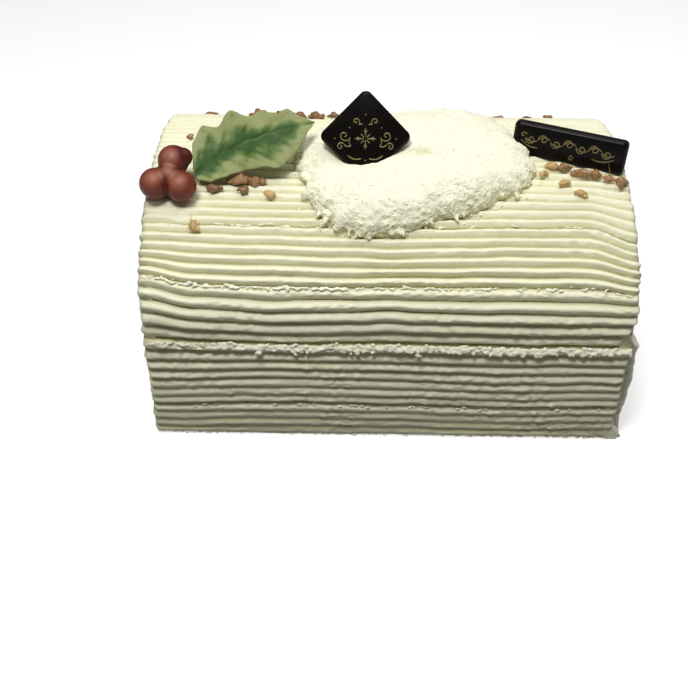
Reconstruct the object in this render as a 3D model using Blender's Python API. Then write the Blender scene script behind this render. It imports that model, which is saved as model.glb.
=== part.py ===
"""Yule log cake: a ridged buttercream log with a coconut mound, two chocolate plaques,
a holly leaf, a trio of berries and scattered praline. Metres, +Z up, origin at the
centre of the log's flat underside, +X along the log, -Y towards the decorated front."""

import math
import random

import bmesh
import bpy
import numpy as np
from mathutils import Matrix, Vector, noise

MM = 0.001
GAP = 0.3 * MM  # air left between pieces that touch

# Log: straight length, and an arched section with nearly upright sides
LOG_LENGTH = 150 * MM
LOG_WIDTH = 110 * MM
LOG_HEIGHT = 79 * MM
SIDE_HEIGHT = 47.7 * MM  # where the side passes into the crown
CROWN_POWER = 2.08  # 2 is an ellipse
FOOT_TUCK = 3.1 * MM  # how far the foot is drawn in under the side
BASE_SPLITS = (-12 * MM, 25 * MM)  # seams of the underside, clear of its centre

# Piped bands: width in mm measured round the section from the front foot, and ridges in each
BANDS = (
    (14.0, 4), (25.5, 7), (21.0, 5), (19.8, 6), (20.2, 6), (20.0, 6),
    (19.8, 6), (20.1, 6), (20.2, 6), (20.2, 5), (20.2, 6), (13.7, 4),
)
RIDGE_DEPTH = 1.1 * MM
RIDGE_SHOULDERS = (0.27, 0.73)  # where a ridge's rounded top begins and ends
BAND_EDGE_DEPTH = 1.7 * MM
TORN_OUT = 0.9 * MM  # lumps of the torn lips on the sides
TORN_ALONG = 0.8 * MM
ROUGH_BAND_EDGES = (1, 2, 3, 9, 10, 11)  # edges on the sides, torn the most
TORN_SHARE_ON_TOP = 0.35  # the other edges are this much calmer
INNER_STATIONS = 17
END_MARGIN = 2.4 * MM  # scraped rim at each end
END_STEP = 0.7 * MM  # from the flat end to the next ring of points
END_ROUNDING_SHARES = (1.0, 0.35, 0.0)  # how far the rounding has come, from the end inwards
END_RIDGE_SHARES = (0.25, 0.6, 0.9)  # how deep the ridges are there
LOG_SEED = 11
LOG_SMOOTH_ANGLE = math.radians(50)
CROWN_ROUNDING = 1.2 * MM  # extra softening of the end's upper corner
SIDE_ROUNDING = 1.1 * MM

# The ridges sag near the right end and rise near the left end
RIGHT_SAG = dict(amount=-4.6 * MM, middle=80 * MM, spread=19 * MM, start=60 * MM)
LEFT_RISE = dict(amount=2.8 * MM, middle=56 * MM, spread=16 * MM, start=58 * MM)

# Coconut mound: a turned superellipse laid on the log, in x and in distance round the section
MOUND_X = 7.6 * MM
MOUND_AROUND = -11.0 * MM  # from the crown, towards the front
MOUND_HALF_LENGTH = 36.8 * MM
MOUND_HALF_DEPTH = 27.0 * MM
MOUND_TURN = math.radians(17)
MOUND_POWER = 3.0
MOUND_HEIGHT = 9.7 * MM
MOUND_BACK_GAIN = 0.04  # the back stands higher than the front
MOUND_SIDES = 96
# inner loops, from the rim to the middle: share of the full size, and number of points
MOUND_RINGS = ((0.985, 96), (0.94, 96), (0.88, 96), (0.81, 96), (0.73, 48), (0.64, 48),
               (0.54, 48), (0.43, 24), (0.31, 24), (0.18, 12))
MOUND_UNDER_RINGS = ((0.985, 96), (0.72, 48), (0.45, 24), (0.2, 12))
MOUND_LIFT = 0.45 * MM
HOLLOW_X = -6.0 * MM
HOLLOW_AROUND = -19.5 * MM
HOLLOW_HALF_LENGTH = 19 * MM
HOLLOW_HALF_DEPTH = 5.6 * MM
HOLLOW_DEPTH = 3.1 * MM
TUFT_HEIGHT = 2.0 * MM
TUFT_LENGTH = 4.2 * MM
FRINGE_REACH = 2.6 * MM
FRINGE_LOBES = 9
MOUND_EDGE_HEIGHT = 1.2 * MM
DOME_POWER = 3  # how late the dome falls to its rim
CALM_POWER = 6  # how close to the rim the tufts fade
MOUND_SMOOTH_ANGLE = math.radians(60)

# Chocolate plaques
PLAQUE_THICKNESS = 2.8 * MM
PLAQUE_CHAMFER = 0.8 * MM
DIAMOND_SIDE = 20.6 * MM
DIAMOND_CORNER = 2.2 * MM
DIAMOND_FACE_CENTRE = Vector((-7.5, -15.6, 90.5)) * MM
DIAMOND_LEAN = math.radians(25)
BAR_LENGTH = 36 * MM
BAR_HEIGHT = 11.2 * MM
BAR_CORNER = 1.6 * MM
BAR_FACE_CENTRE = Vector((56.4, -8.5, 83.5)) * MM
BAR_LEAN = math.radians(6)
BAR_YAW = math.radians(-20)
BAR_ROLL = math.radians(-1.8)

# Holly leaf: a waved blade about a bowed midrib, its back edge raised
LEAF_BASE = Vector((-59.6, -21.3, 79.6)) * MM
LEAF_LENGTH = 40.4 * MM
LEAF_TILT = math.radians(40)
LEAF_TURN = math.radians(26)  # of the midrib within the blade's plane
LEAF_BOW = 3.1 * MM
LEAF_THICKNESS = 1.2 * MM
LEAF_CUP = 1.3 * MM
LEAF_WAVE = 0.8 * MM
LEAF_STEPS = 20
LEAF_ROWS = 4  # on each side of the midrib
LEAF_BOW_POWER = 0.8  # the bow is fullest a little before the middle
LEAF_CUP_POWER = 1.5
LEAF_CUP_MIDDLE = 0.4  # share of the cup taken off at the midrib
LEAF_CUP_REACH = 1.15  # the cup flattens out before the tip
LEAF_WAVES = 9.5  # quarter turns of the wave along each edge
LEAF_WAVE_LEAD = 1.2  # the upper edge's wave is ahead of the lower one's
LEAF_SMOOTH_ANGLE = math.radians(40)
# distance along the blade and half width there, in mm: four blunt spines on each side
LEAF_UPPER = ((0, 2.0), (3.5, 8.6), (8.2, 11.4), (12.5, 8.3), (18, 11.2), (22.5, 7.2),
              (27, 8.3), (31, 5.6), (34.5, 6.4), (37.5, 2.6), (40.4, 0.25))
LEAF_LOWER = ((0, 2.4), (4, 6.2), (9, 7.4), (14, 8.3), (19, 10.0), (23.8, 12.0),
              (28, 10.2), (31.5, 8.3), (35, 4.8), (38, 2.0), (40.4, 0.25))

# Berries: one moulded trio with a small bud
BERRY_RADIUS = 4.8 * MM
BERRY_CENTRES = (
    Vector((-63.2, -28.5, 79.9)) * MM,
    Vector((-71.2, -27.6, 80.2)) * MM,
    Vector((-65.9, -22.0, 85.0)) * MM,
)
WEB_RADIUS = 4.3 * MM  # fills the middle of the trio
BUD_RADIUS = 2.7 * MM
BUD_CENTRE = Vector((-62.5, -21.0, 86.0)) * MM
BERRY_SEGMENTS = 16
BERRY_RINGS = 9
BERRY_TURN = 0.7  # keeps the globes' poles off each other
BERRY_SMOOTH_ANGLE = math.radians(45)

# Praline in mm: x, distance from the crown (front negative), length, width, height
PRALINE = (
    (-53.8, -23.8, 5.3, 3.7, 2.8), (-46.8, -20.9, 6.5, 5.4, 4.4), (-44.9, -24.6, 3.8, 3.5, 2.8),
    (-41.0, -20.6, 5.2, 4.8, 3.8), (-36.6, -26.0, 3.7, 3.4, 2.5), (-58.7, -39.0, 3.0, 4.8, 2.5),
    (-64.5, 4.6, 2.5, 2.3, 1.8), (-44.8, 30.5, 5.5, 4.0, 3.5), (-40.0, 27.0, 4.4, 3.4, 3.0),
    (-35.8, 30.4, 4.8, 3.9, 3.2), (-30.2, 26.3, 4.9, 4.4, 3.7), (-24.3, 27.4, 5.2, 4.1, 3.4),
    (-18.3, 28.8, 4.1, 3.2, 2.8), (48.4, -15.4, 2.5, 3.2, 2.5), (51.2, -11.6, 4.1, 3.2, 3.0),
    (55.2, -12.4, 4.4, 3.4, 3.2), (59.6, -15.8, 6.0, 4.1, 3.7), (64.2, -16.0, 3.7, 3.7, 3.4),
    (54.1, -20.2, 4.0, 3.7, 3.0), (58.6, -24.4, 4.6, 2.8, 2.2), (68.2, -18.0, 3.9, 3.0, 2.8),
    (71.9, -19.6, 3.9, 3.7, 5.3),
)
BACK_PRALINE_COUNT = 17
BACK_PRALINE_AROUND = (43 * MM, 63 * MM)
BACK_PRALINE_REACH = 0.46  # share of the log's length, each way
BACK_PRALINE_LENGTH = (3.0 * MM, 4.8 * MM)
BACK_PRALINE_WIDTH_SHARE = (0.6, 0.9)
BACK_PRALINE_HEIGHT_SHARE = (0.5, 0.7)
PRALINE_SPACING = 5.5 * MM
PRALINE_SINK = 0.28
PRALINE_CRAGS = (0.82, 1.2)  # how far in or out each corner of a chip lies
PRALINE_HEADING = 0.6
PRALINE_SEED = 5


def finish(name, red, green, blue, roughness):
    """A plain coloured finish for one piece."""
    material = bpy.data.materials.new(name)
    material.use_nodes = True
    shader = material.node_tree.nodes["Principled BSDF"]
    shader.inputs["Base Color"].default_value = (red, green, blue, 1)
    shader.inputs["Roughness"].default_value = roughness
    shader.inputs["Metallic"].default_value = 0
    material.diffuse_color = (red, green, blue, 1)
    return material


def solid(name, vertices, faces, material, smooth_angle=None):
    """A named object from points and faces, its faces turned outwards."""
    mesh = bpy.data.meshes.new(name)
    form = bmesh.new()
    points = [form.verts.new(point) for point in vertices]
    for face in faces:
        form.faces.new([points[corner] for corner in face])
    bmesh.ops.recalc_face_normals(form, faces=form.faces)
    form.to_mesh(mesh)
    form.free()
    if smooth_angle is not None:
        mesh.shade_smooth()
        mesh.set_sharp_from_angle(angle=smooth_angle)
    thing = bpy.data.objects.new(name, mesh)
    mesh.materials.append(material)
    bpy.context.scene.collection.objects.link(thing)
    return thing


def make_guide(thing):
    """Marks a cutter, which leaves room in the pieces round a plaque."""
    thing.hide_render = True
    thing.display_type = "WIRE"
    return thing


def cut(thing, cutter):
    """Leaves room in a piece for one that is pressed into it."""
    boolean = thing.modifiers.new("room for " + cutter.name, "BOOLEAN")
    boolean.operation = "DIFFERENCE"
    boolean.object = cutter
    return boolean


def section_curve(samples=240):
    """The log's end outline, from the front foot over the crown to the back foot."""
    half = LOG_WIDTH / 2
    side_z = np.linspace(0, SIDE_HEIGHT, samples)
    side_y = half - FOOT_TUCK * (1 - side_z / SIDE_HEIGHT) ** 2
    turn = np.linspace(0, math.pi / 2, samples)[1:]
    crown_y = half * np.abs(np.cos(turn)) ** (2 / CROWN_POWER)
    crown_z = SIDE_HEIGHT + (LOG_HEIGHT - SIDE_HEIGHT) * np.sin(turn) ** (2 / CROWN_POWER)
    front_y = -np.concatenate([side_y, crown_y])
    front_z = np.concatenate([side_z, crown_z])
    whole_y = np.concatenate([front_y, -front_y[-2::-1]])
    whole_z = np.concatenate([front_z, front_z[-2::-1]])
    steps = np.hypot(np.diff(whole_y), np.diff(whole_z))
    return np.concatenate([[0], np.cumsum(steps)]), whole_y, whole_z


ROUND, SECTION_Y, SECTION_Z = section_curve()
GIRTH = float(ROUND[-1])
CROWN = GIRTH / 2


def section_point(around, height=0.0):
    """A point of the section, raised from it along its normal: y and z."""
    step = 0.8 * MM
    low = min(max(around - step, 0), GIRTH - 2 * step)
    run_y = np.interp(low + 2 * step, ROUND, SECTION_Y) - np.interp(low, ROUND, SECTION_Y)
    run_z = np.interp(low + 2 * step, ROUND, SECTION_Z) - np.interp(low, ROUND, SECTION_Z)
    length = math.hypot(run_y, run_z)
    y = np.interp(around, ROUND, SECTION_Y) - height * run_z / length
    z = np.interp(around, ROUND, SECTION_Z) + height * run_y / length
    return float(y), float(z)


def surface_point(x, around, height=0.0):
    y, z = section_point(around, height)
    return Vector((x, y, z))


def surface_normal(around):
    low = Vector((0, *section_point(around, 0)))
    high = Vector((0, *section_point(around, MM)))
    return (high - low).normalized()


def smooth_step(value):
    value = min(max(value, 0), 1)
    return value * value * (3 - 2 * value)


def drift(x, around):
    """How far the ridges wander round the section towards the log's ends."""
    total = 0.0
    for side, bend in ((1, RIGHT_SAG), (-1, LEFT_RISE)):
        reach = smooth_step((side * x - bend["start"]) / (LOG_LENGTH / 2 - bend["start"]))
        nearness = math.exp(-((around - bend["middle"]) / bend["spread"]) ** 2)
        total += bend["amount"] * reach * nearness
    return total


def ridge_profile():
    """Distance round the section, depth and band edge number of every point of a ring."""
    points = []
    start = 0.0
    scale = GIRTH / (sum(width for width, ridges in BANDS) * MM)
    for number, (width, ridges) in enumerate(BANDS):
        pitch = width * MM * scale / ridges
        for ridge in range(ridges):
            at_edge = ridge == 0 and number > 0
            valley = BAND_EDGE_DEPTH if at_edge else RIDGE_DEPTH
            points.append((start, -valley, number if at_edge else None))
            for place, shoulder in enumerate(RIDGE_SHOULDERS):
                beside = number if at_edge and place == 0 else None
                points.append((start + shoulder * pitch, 0.0, beside))
            start += pitch
    points.append((GIRTH, 0.0, None))
    return points


def make_log(material):
    """The cake itself: a ring of ridges carried along the log, closed by flat ends."""
    dice = random.Random(LOG_SEED)
    profile = ridge_profile()
    half = LOG_LENGTH / 2
    inner = half - END_MARGIN
    stations = [-half, -half + END_STEP]
    stations += [-inner + 2 * inner * step / (INNER_STATIONS - 1) for step in range(INNER_STATIONS)]
    stations += [half - END_STEP, half]
    vertices = []
    for station, x in enumerate(stations):
        from_end = min(station, len(stations) - 1 - station)
        share = END_ROUNDING_SHARES[min(from_end, 2)]
        ridge_share = END_RIDGE_SHARES[from_end] if from_end < len(END_RIDGE_SHARES) else 1.0
        for number, (around, height, edge) in enumerate(profile):
            place = around + drift(x, around)
            high = height * ridge_share
            if edge is not None and from_end > 1:
                torn = edge in ROUGH_BAND_EDGES
                rough = 1.0 if torn else TORN_SHARE_ON_TOP
                if height == 0:
                    high += rough * TORN_OUT * dice.uniform(-1, 1 if torn else 0)
                place += rough * TORN_ALONG * dice.uniform(-1, 1)
            upness = smooth_step((section_point(around)[1] - SIDE_HEIGHT) / (LOG_HEIGHT - SIDE_HEIGHT))
            high -= share * (SIDE_ROUNDING + CROWN_ROUNDING * upness)
            point = surface_point(x, place, high)
            if number in (0, len(profile) - 1):
                point.z = 0
            vertices.append(point)
        for split in reversed(BASE_SPLITS):
            vertices.append(Vector((x, split, 0)))
    ring = len(profile) + len(BASE_SPLITS)
    faces = []
    for station in range(len(stations) - 1):
        for corner in range(ring):
            following = (corner + 1) % ring
            here, there = station * ring, (station + 1) * ring
            faces.append((here + corner, here + following, there + following, there + corner))
    faces.append(tuple(range(ring)))
    last = (len(stations) - 1) * ring
    faces.append(tuple(reversed(range(last, last + ring))))
    return solid("log", vertices, faces, material, LOG_SMOOTH_ANGLE)


def make_praline_bit(number, x, around, length, width, height, dice):
    """One chip of caramelised nut, a little sunk in the cream."""
    form = bmesh.new()
    bmesh.ops.create_icosphere(form, subdivisions=1, radius=0.5)
    for vertex in form.verts:
        vertex.co *= dice.uniform(*PRALINE_CRAGS)
    up = surface_normal(around)
    heading = Matrix.Rotation(dice.uniform(-PRALINE_HEADING, PRALINE_HEADING), 3, "Z")
    stand = Vector((0, 0, 1)).rotation_difference(up).to_matrix()
    size = Matrix.Diagonal((length, width, height))
    place = surface_point(x, around, height * (0.5 - PRALINE_SINK))
    for vertex in form.verts:
        vertex.co = place + stand @ (heading @ (size @ vertex.co))
    mesh = bpy.data.meshes.new("bit%02d" % number)
    form.to_mesh(mesh)
    form.free()
    return bpy.data.objects.new("bit%02d" % number, mesh)


def scatter_praline():
    """The chips of the front and top, then a seeded scatter down the back."""
    dice = random.Random(PRALINE_SEED)
    bits = bpy.data.collections.new("praline")
    bpy.context.scene.collection.children.link(bits)
    places = [(x * MM, CROWN + around * MM, length * MM, width * MM, height * MM)
              for x, around, length, width, height in PRALINE]
    taken = [(place[0], place[1]) for place in places]
    while len(places) < len(PRALINE) + BACK_PRALINE_COUNT:
        x = dice.uniform(-BACK_PRALINE_REACH, BACK_PRALINE_REACH) * LOG_LENGTH
        around = CROWN + dice.uniform(*BACK_PRALINE_AROUND)
        if min(math.hypot(x - other[0], around - other[1]) for other in taken) < PRALINE_SPACING:
            continue
        taken.append((x, around))
        length = dice.uniform(*BACK_PRALINE_LENGTH)
        width = length * dice.uniform(*BACK_PRALINE_WIDTH_SHARE)
        height = length * dice.uniform(*BACK_PRALINE_HEIGHT_SHARE)
        places.append((x, around, length, width, height))
    for number, place in enumerate(places):
        bits.objects.link(make_praline_bit(number, *place, dice))
    return bits


def fuse(thing, parts):
    """Joins a collection of small pieces to the piece they lie on, and removes them."""
    boolean = thing.modifiers.new("fused praline", "BOOLEAN")
    boolean.operation = "UNION"
    boolean.operand_type = "COLLECTION"
    boolean.collection = parts
    seen = thing.evaluated_get(bpy.context.evaluated_depsgraph_get())
    fused = bpy.data.meshes.new_from_object(seen)
    thing.modifiers.clear()
    thing.data = fused
    for bit in list(parts.objects):
        bpy.data.objects.remove(bit)
    bpy.data.collections.remove(parts)


def mound_place(angle, share):
    """x and distance round the section of a point of the mound's oval."""
    power = 2 / MOUND_POWER
    long_way = math.copysign(abs(math.cos(angle)) ** power, math.cos(angle)) * MOUND_HALF_LENGTH * share
    short_way = math.copysign(abs(math.sin(angle)) ** power, math.sin(angle)) * MOUND_HALF_DEPTH * share
    x = MOUND_X + long_way * math.cos(MOUND_TURN) - short_way * math.sin(MOUND_TURN)
    around = CROWN + MOUND_AROUND + long_way * math.sin(MOUND_TURN) + short_way * math.cos(MOUND_TURN)
    return x, around


def mound_height(x, around, share):
    """Height of the coconut over the log: domed, dented where the diamond stands."""
    back = around - (CROWN + MOUND_AROUND)
    dome = (MOUND_HEIGHT + MOUND_BACK_GAIN * back) * math.sqrt(max(1 - share ** DOME_POWER, 0))
    dent_x = (x - HOLLOW_X) / HOLLOW_HALF_LENGTH
    dent_around = (around - CROWN - HOLLOW_AROUND) / HOLLOW_HALF_DEPTH
    dent = HOLLOW_DEPTH * math.exp(-dent_x ** 4 - dent_around ** 2)
    tuft = noise.noise(Vector((x, around, 0)) / TUFT_LENGTH) * TUFT_HEIGHT
    return max(dome - dent + tuft * (1 - share ** CALM_POWER), MOUND_EDGE_HEIGHT)


def mound_ring(vertices, share, sides, raised):
    """One closed loop round the mound: its points' numbers, added to the list."""
    start = len(vertices)
    for side in range(sides):
        angle = math.tau * side / sides
        lobe = noise.noise(Vector((math.cos(angle), math.sin(angle), 0)) * FRINGE_LOBES)
        x, around = mound_place(angle, share * (1 + share ** 4 * lobe * FRINGE_REACH / MOUND_HALF_DEPTH))
        height = mound_height(x, around, share) if raised else 0.0
        vertices.append(surface_point(x, around, MOUND_LIFT + height))
    return list(range(start, start + sides))


def make_mound(material):
    """A shaggy oval of grated coconut: loops that halve towards the middle, over a thin underside."""
    vertices = []
    faces = []

    def join(outer, inner):
        share = len(outer) // len(inner)
        for side, here in enumerate(inner):
            following = inner[(side + 1) % len(inner)]
            edge = [outer[(side * share + step) % len(outer)] for step in range(share + 1)]
            if share == 1:
                faces.append((here, following, edge[1], edge[0]))
                continue
            faces.append((here, edge[1], edge[0]))
            faces.append((here, following, edge[1]))
            faces.append((following, edge[2], edge[1]))

    outer = rim = mound_ring(vertices, 1.0, MOUND_SIDES, True)
    for share, sides in MOUND_RINGS:
        inner = mound_ring(vertices, share, sides, True)
        join(outer, inner)
        outer = inner
    faces.append(tuple(outer))
    outer = rim
    for share, sides in MOUND_UNDER_RINGS:
        inner = mound_ring(vertices, share, sides, False)
        join(outer, inner)
        outer = inner
    faces.append(tuple(outer))
    return solid("coconut_mound", vertices, faces, material, MOUND_SMOOTH_ANGLE)


def rounded_outline(length, height, corner, turn, steps=4):
    """A rectangle with round corners about its middle, turned in its own plane."""
    points = []
    for number, (side_x, side_y) in enumerate(((1, 1), (-1, 1), (-1, -1), (1, -1))):
        for step in range(steps + 1):
            angle = math.pi / 2 * (number + step / steps)
            x = side_x * (length / 2 - corner) + corner * math.cos(angle)
            y = side_y * (height / 2 - corner) + corner * math.sin(angle)
            points.append(Vector((x * math.cos(turn) - y * math.sin(turn),
                                  x * math.sin(turn) + y * math.cos(turn))))
    return points


def plaque_matrix(face_centre, yaw, lean, roll):
    """Local x runs along the plaque, y up it, and z out of its printed face."""
    upright = Matrix.Rotation(math.pi / 2 - lean, 4, "X")
    return (Matrix.Translation(face_centre) @ Matrix.Rotation(yaw, 4, "Z")
            @ upright @ Matrix.Rotation(roll, 4, "Z"))


def make_plaque(name, length, height, corner, turn, matrix, material, grow=0.0):
    """A moulded chocolate tablet with a chamfered face."""
    chamfer = 0.0 if grow else PLAQUE_CHAMFER
    outer = rounded_outline(length + 2 * grow, height + 2 * grow, corner + grow, turn)
    face = rounded_outline(length - 2 * chamfer, height - 2 * chamfer, corner, turn)
    levels = [(outer, -PLAQUE_THICKNESS - grow)]
    if grow:
        levels.append((outer, grow))
    else:
        levels += [(outer, -chamfer), (face, 0.0)]
    vertices = [matrix @ Vector((*point, level)) for loop, level in levels for point in loop]
    count = len(outer)
    faces = [tuple(range(count)), tuple(reversed(range((len(levels) - 1) * count, len(levels) * count)))]
    for level in range(len(levels) - 1):
        for corner_number in range(count):
            following = (corner_number + 1) % count
            low, high = level * count, (level + 1) * count
            faces.append((low + corner_number, low + following, high + following, high + corner_number))
    return solid(name, vertices, faces, material)


def half_width(table, along):
    """Half the blade's width at a distance along it, waved between its spines."""
    places = [place * MM for place, width in table]
    widths = [width * MM for place, width in table]
    return float(np.interp(along, places, widths))


def make_leaf(material):
    """A waved blade of even thickness, its two faces split into triangles alike."""
    along_x = Vector((1, 0, 0))
    across = Vector((0, math.cos(LEAF_TILT), math.sin(LEAF_TILT)))
    up = along_x.cross(across)
    # the midrib's turn within the blade's plane
    ribward = along_x * math.cos(LEAF_TURN) + across * math.sin(LEAF_TURN)
    sideward = up.cross(ribward)
    columns = 2 * LEAF_ROWS + 1
    vertices = []
    for layer in (0, 1):
        for step in range(LEAF_STEPS + 1):
            share = step / LEAF_STEPS
            along = LEAF_LENGTH * share
            bow = LEAF_BOW * math.sin(math.pi * share ** LEAF_BOW_POWER)
            fullness = math.sqrt(math.sin(math.pi * min(share * LEAF_CUP_REACH, 1)))
            for row in range(-LEAF_ROWS, LEAF_ROWS + 1):
                out = row / LEAF_ROWS
                table = LEAF_UPPER if row > 0 else LEAF_LOWER
                side = bow + out * half_width(table, along)
                cup = LEAF_CUP * (abs(out) ** LEAF_CUP_POWER - LEAF_CUP_MIDDLE) * fullness
                phase = LEAF_WAVES * share * math.pi / 2 + (LEAF_WAVE_LEAD if row > 0 else 0)
                wave = LEAF_WAVE * out * out * math.sin(phase)
                high = cup + wave * math.sin(math.pi * share) + (LEAF_THICKNESS if layer else 0)
                vertices.append(LEAF_BASE + ribward * along + sideward * side + up * high)
    sheet = (LEAF_STEPS + 1) * columns
    faces = []
    for step in range(LEAF_STEPS):
        for column in range(columns - 1):
            a = step * columns + column
            b, c, d = a + 1, a + columns + 1, a + columns
            for one, two, three in ((a, b, c), (a, c, d)):
                faces.append((three, two, one))
                faces.append((one + sheet, two + sheet, three + sheet))
    rim = [column for column in range(columns)]
    rim += [step * columns + columns - 1 for step in range(1, LEAF_STEPS + 1)]
    rim += [LEAF_STEPS * columns + column for column in range(columns - 2, -1, -1)]
    rim += [step * columns for step in range(LEAF_STEPS - 1, 0, -1)]
    for number, here in enumerate(rim):
        following = rim[(number + 1) % len(rim)]
        faces.append((here, following, following + sheet))
        faces.append((here, following + sheet, here + sheet))
    return solid("holly_leaf", vertices, faces, material, LEAF_SMOOTH_ANGLE)


def make_berries(material):
    """Three round berries and a bud, united into one moulded piece."""
    balls = bpy.data.collections.new("balls")
    bpy.context.scene.collection.children.link(balls)
    first = None
    middle = sum(BERRY_CENTRES, Vector()) / len(BERRY_CENTRES)
    globes = [(middle, WEB_RADIUS)] + [(place, BERRY_RADIUS) for place in BERRY_CENTRES]
    globes.append((BUD_CENTRE, BUD_RADIUS))
    for number, (centre, radius) in enumerate(globes):
        form = bmesh.new()
        bmesh.ops.create_uvsphere(form, u_segments=BERRY_SEGMENTS, v_segments=BERRY_RINGS, radius=radius)
        bmesh.ops.rotate(form, verts=form.verts, matrix=Matrix.Rotation(BERRY_TURN + number, 3, "X"))
        bmesh.ops.translate(form, verts=form.verts, vec=centre)
        name = "ball%d" % number if first else "berries"
        mesh = bpy.data.meshes.new(name)
        form.to_mesh(mesh)
        form.free()
        ball = bpy.data.objects.new(name, mesh)
        if first:
            balls.objects.link(ball)
        else:
            bpy.context.scene.collection.objects.link(ball)
            first = ball
    fuse(first, balls)
    first.data.materials.clear()
    first.data.materials.append(material)
    first.data.shade_smooth()
    first.data.set_sharp_from_angle(angle=BERRY_SMOOTH_ANGLE)
    return first


for leftover in list(bpy.data.objects):
    bpy.data.objects.remove(leftover)

cream = finish("ivory buttercream", 0.90, 0.87, 0.70, 0.45)
coconut = finish("grated coconut", 0.93, 0.93, 0.88, 0.8)
chocolate = finish("dark chocolate", 0.018, 0.012, 0.010, 0.35)
leaf_green = finish("leaf green", 0.32, 0.45, 0.24, 0.5)
berry_red = finish("berry red", 0.36, 0.07, 0.045, 0.45)
guide = finish("guide", 0.5, 0.5, 0.5, 0.5)

diamond_place = plaque_matrix(DIAMOND_FACE_CENTRE, 0.0, DIAMOND_LEAN, 0.0)
bar_place = plaque_matrix(BAR_FACE_CENTRE, BAR_YAW, BAR_LEAN, BAR_ROLL)
diamond = (DIAMOND_SIDE, DIAMOND_SIDE, DIAMOND_CORNER, math.pi / 4, diamond_place)
bar = (BAR_LENGTH, BAR_HEIGHT, BAR_CORNER, 0.0, bar_place)
make_plaque("diamond_plaque", *diamond, chocolate)
make_plaque("bar_plaque", *bar, chocolate)
diamond_room = make_guide(make_plaque("diamond_room", *diamond, guide, GAP))
bar_room = make_guide(make_plaque("bar_room", *bar, guide, GAP))

log = make_log(cream)
fuse(log, scatter_praline())
log.data.materials.clear()
log.data.materials.append(cream)
mound = make_mound(coconut)
for piece in (log, mound):
    for room in (diamond_room, bar_room):
        cut(piece, room)

make_leaf(leaf_green)
make_berries(berry_red)
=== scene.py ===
import itertools
import math
import random

import bmesh
import bpy
import numpy as np
from mathutils import Matrix, Vector


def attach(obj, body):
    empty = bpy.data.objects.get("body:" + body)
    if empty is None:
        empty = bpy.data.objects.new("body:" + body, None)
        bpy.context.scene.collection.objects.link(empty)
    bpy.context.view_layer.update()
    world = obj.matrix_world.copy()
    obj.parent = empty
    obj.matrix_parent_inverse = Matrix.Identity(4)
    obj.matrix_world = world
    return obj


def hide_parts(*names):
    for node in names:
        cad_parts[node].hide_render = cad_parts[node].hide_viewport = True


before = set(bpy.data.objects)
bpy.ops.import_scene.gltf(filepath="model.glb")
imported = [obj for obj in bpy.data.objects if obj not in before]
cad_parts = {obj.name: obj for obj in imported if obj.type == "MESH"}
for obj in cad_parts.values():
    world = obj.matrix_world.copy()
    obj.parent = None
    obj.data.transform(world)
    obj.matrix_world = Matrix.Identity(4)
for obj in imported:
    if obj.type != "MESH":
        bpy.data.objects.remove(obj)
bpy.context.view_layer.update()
mm = 0.001
print("frame loaded:", ", ".join(sorted(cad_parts)))


# Shader maths: a Wire is a socket that can be added, multiplied and so on

class Wire:
    def __init__(self, finish, socket):
        self.finish = finish
        self.socket = socket

    def maths(self, operation, first, second):
        return self.finish.node("ShaderNodeMath", {"operation": operation}, {0: first, 1: second})

    def __add__(self, other):
        return self.maths("ADD", self, other)

    def __sub__(self, other):
        return self.maths("SUBTRACT", self, other)

    def __rsub__(self, other):
        return self.maths("SUBTRACT", other, self)

    def __mul__(self, other):
        return self.maths("MULTIPLY", self, other)

    __radd__ = __add__
    __rmul__ = __mul__


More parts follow.
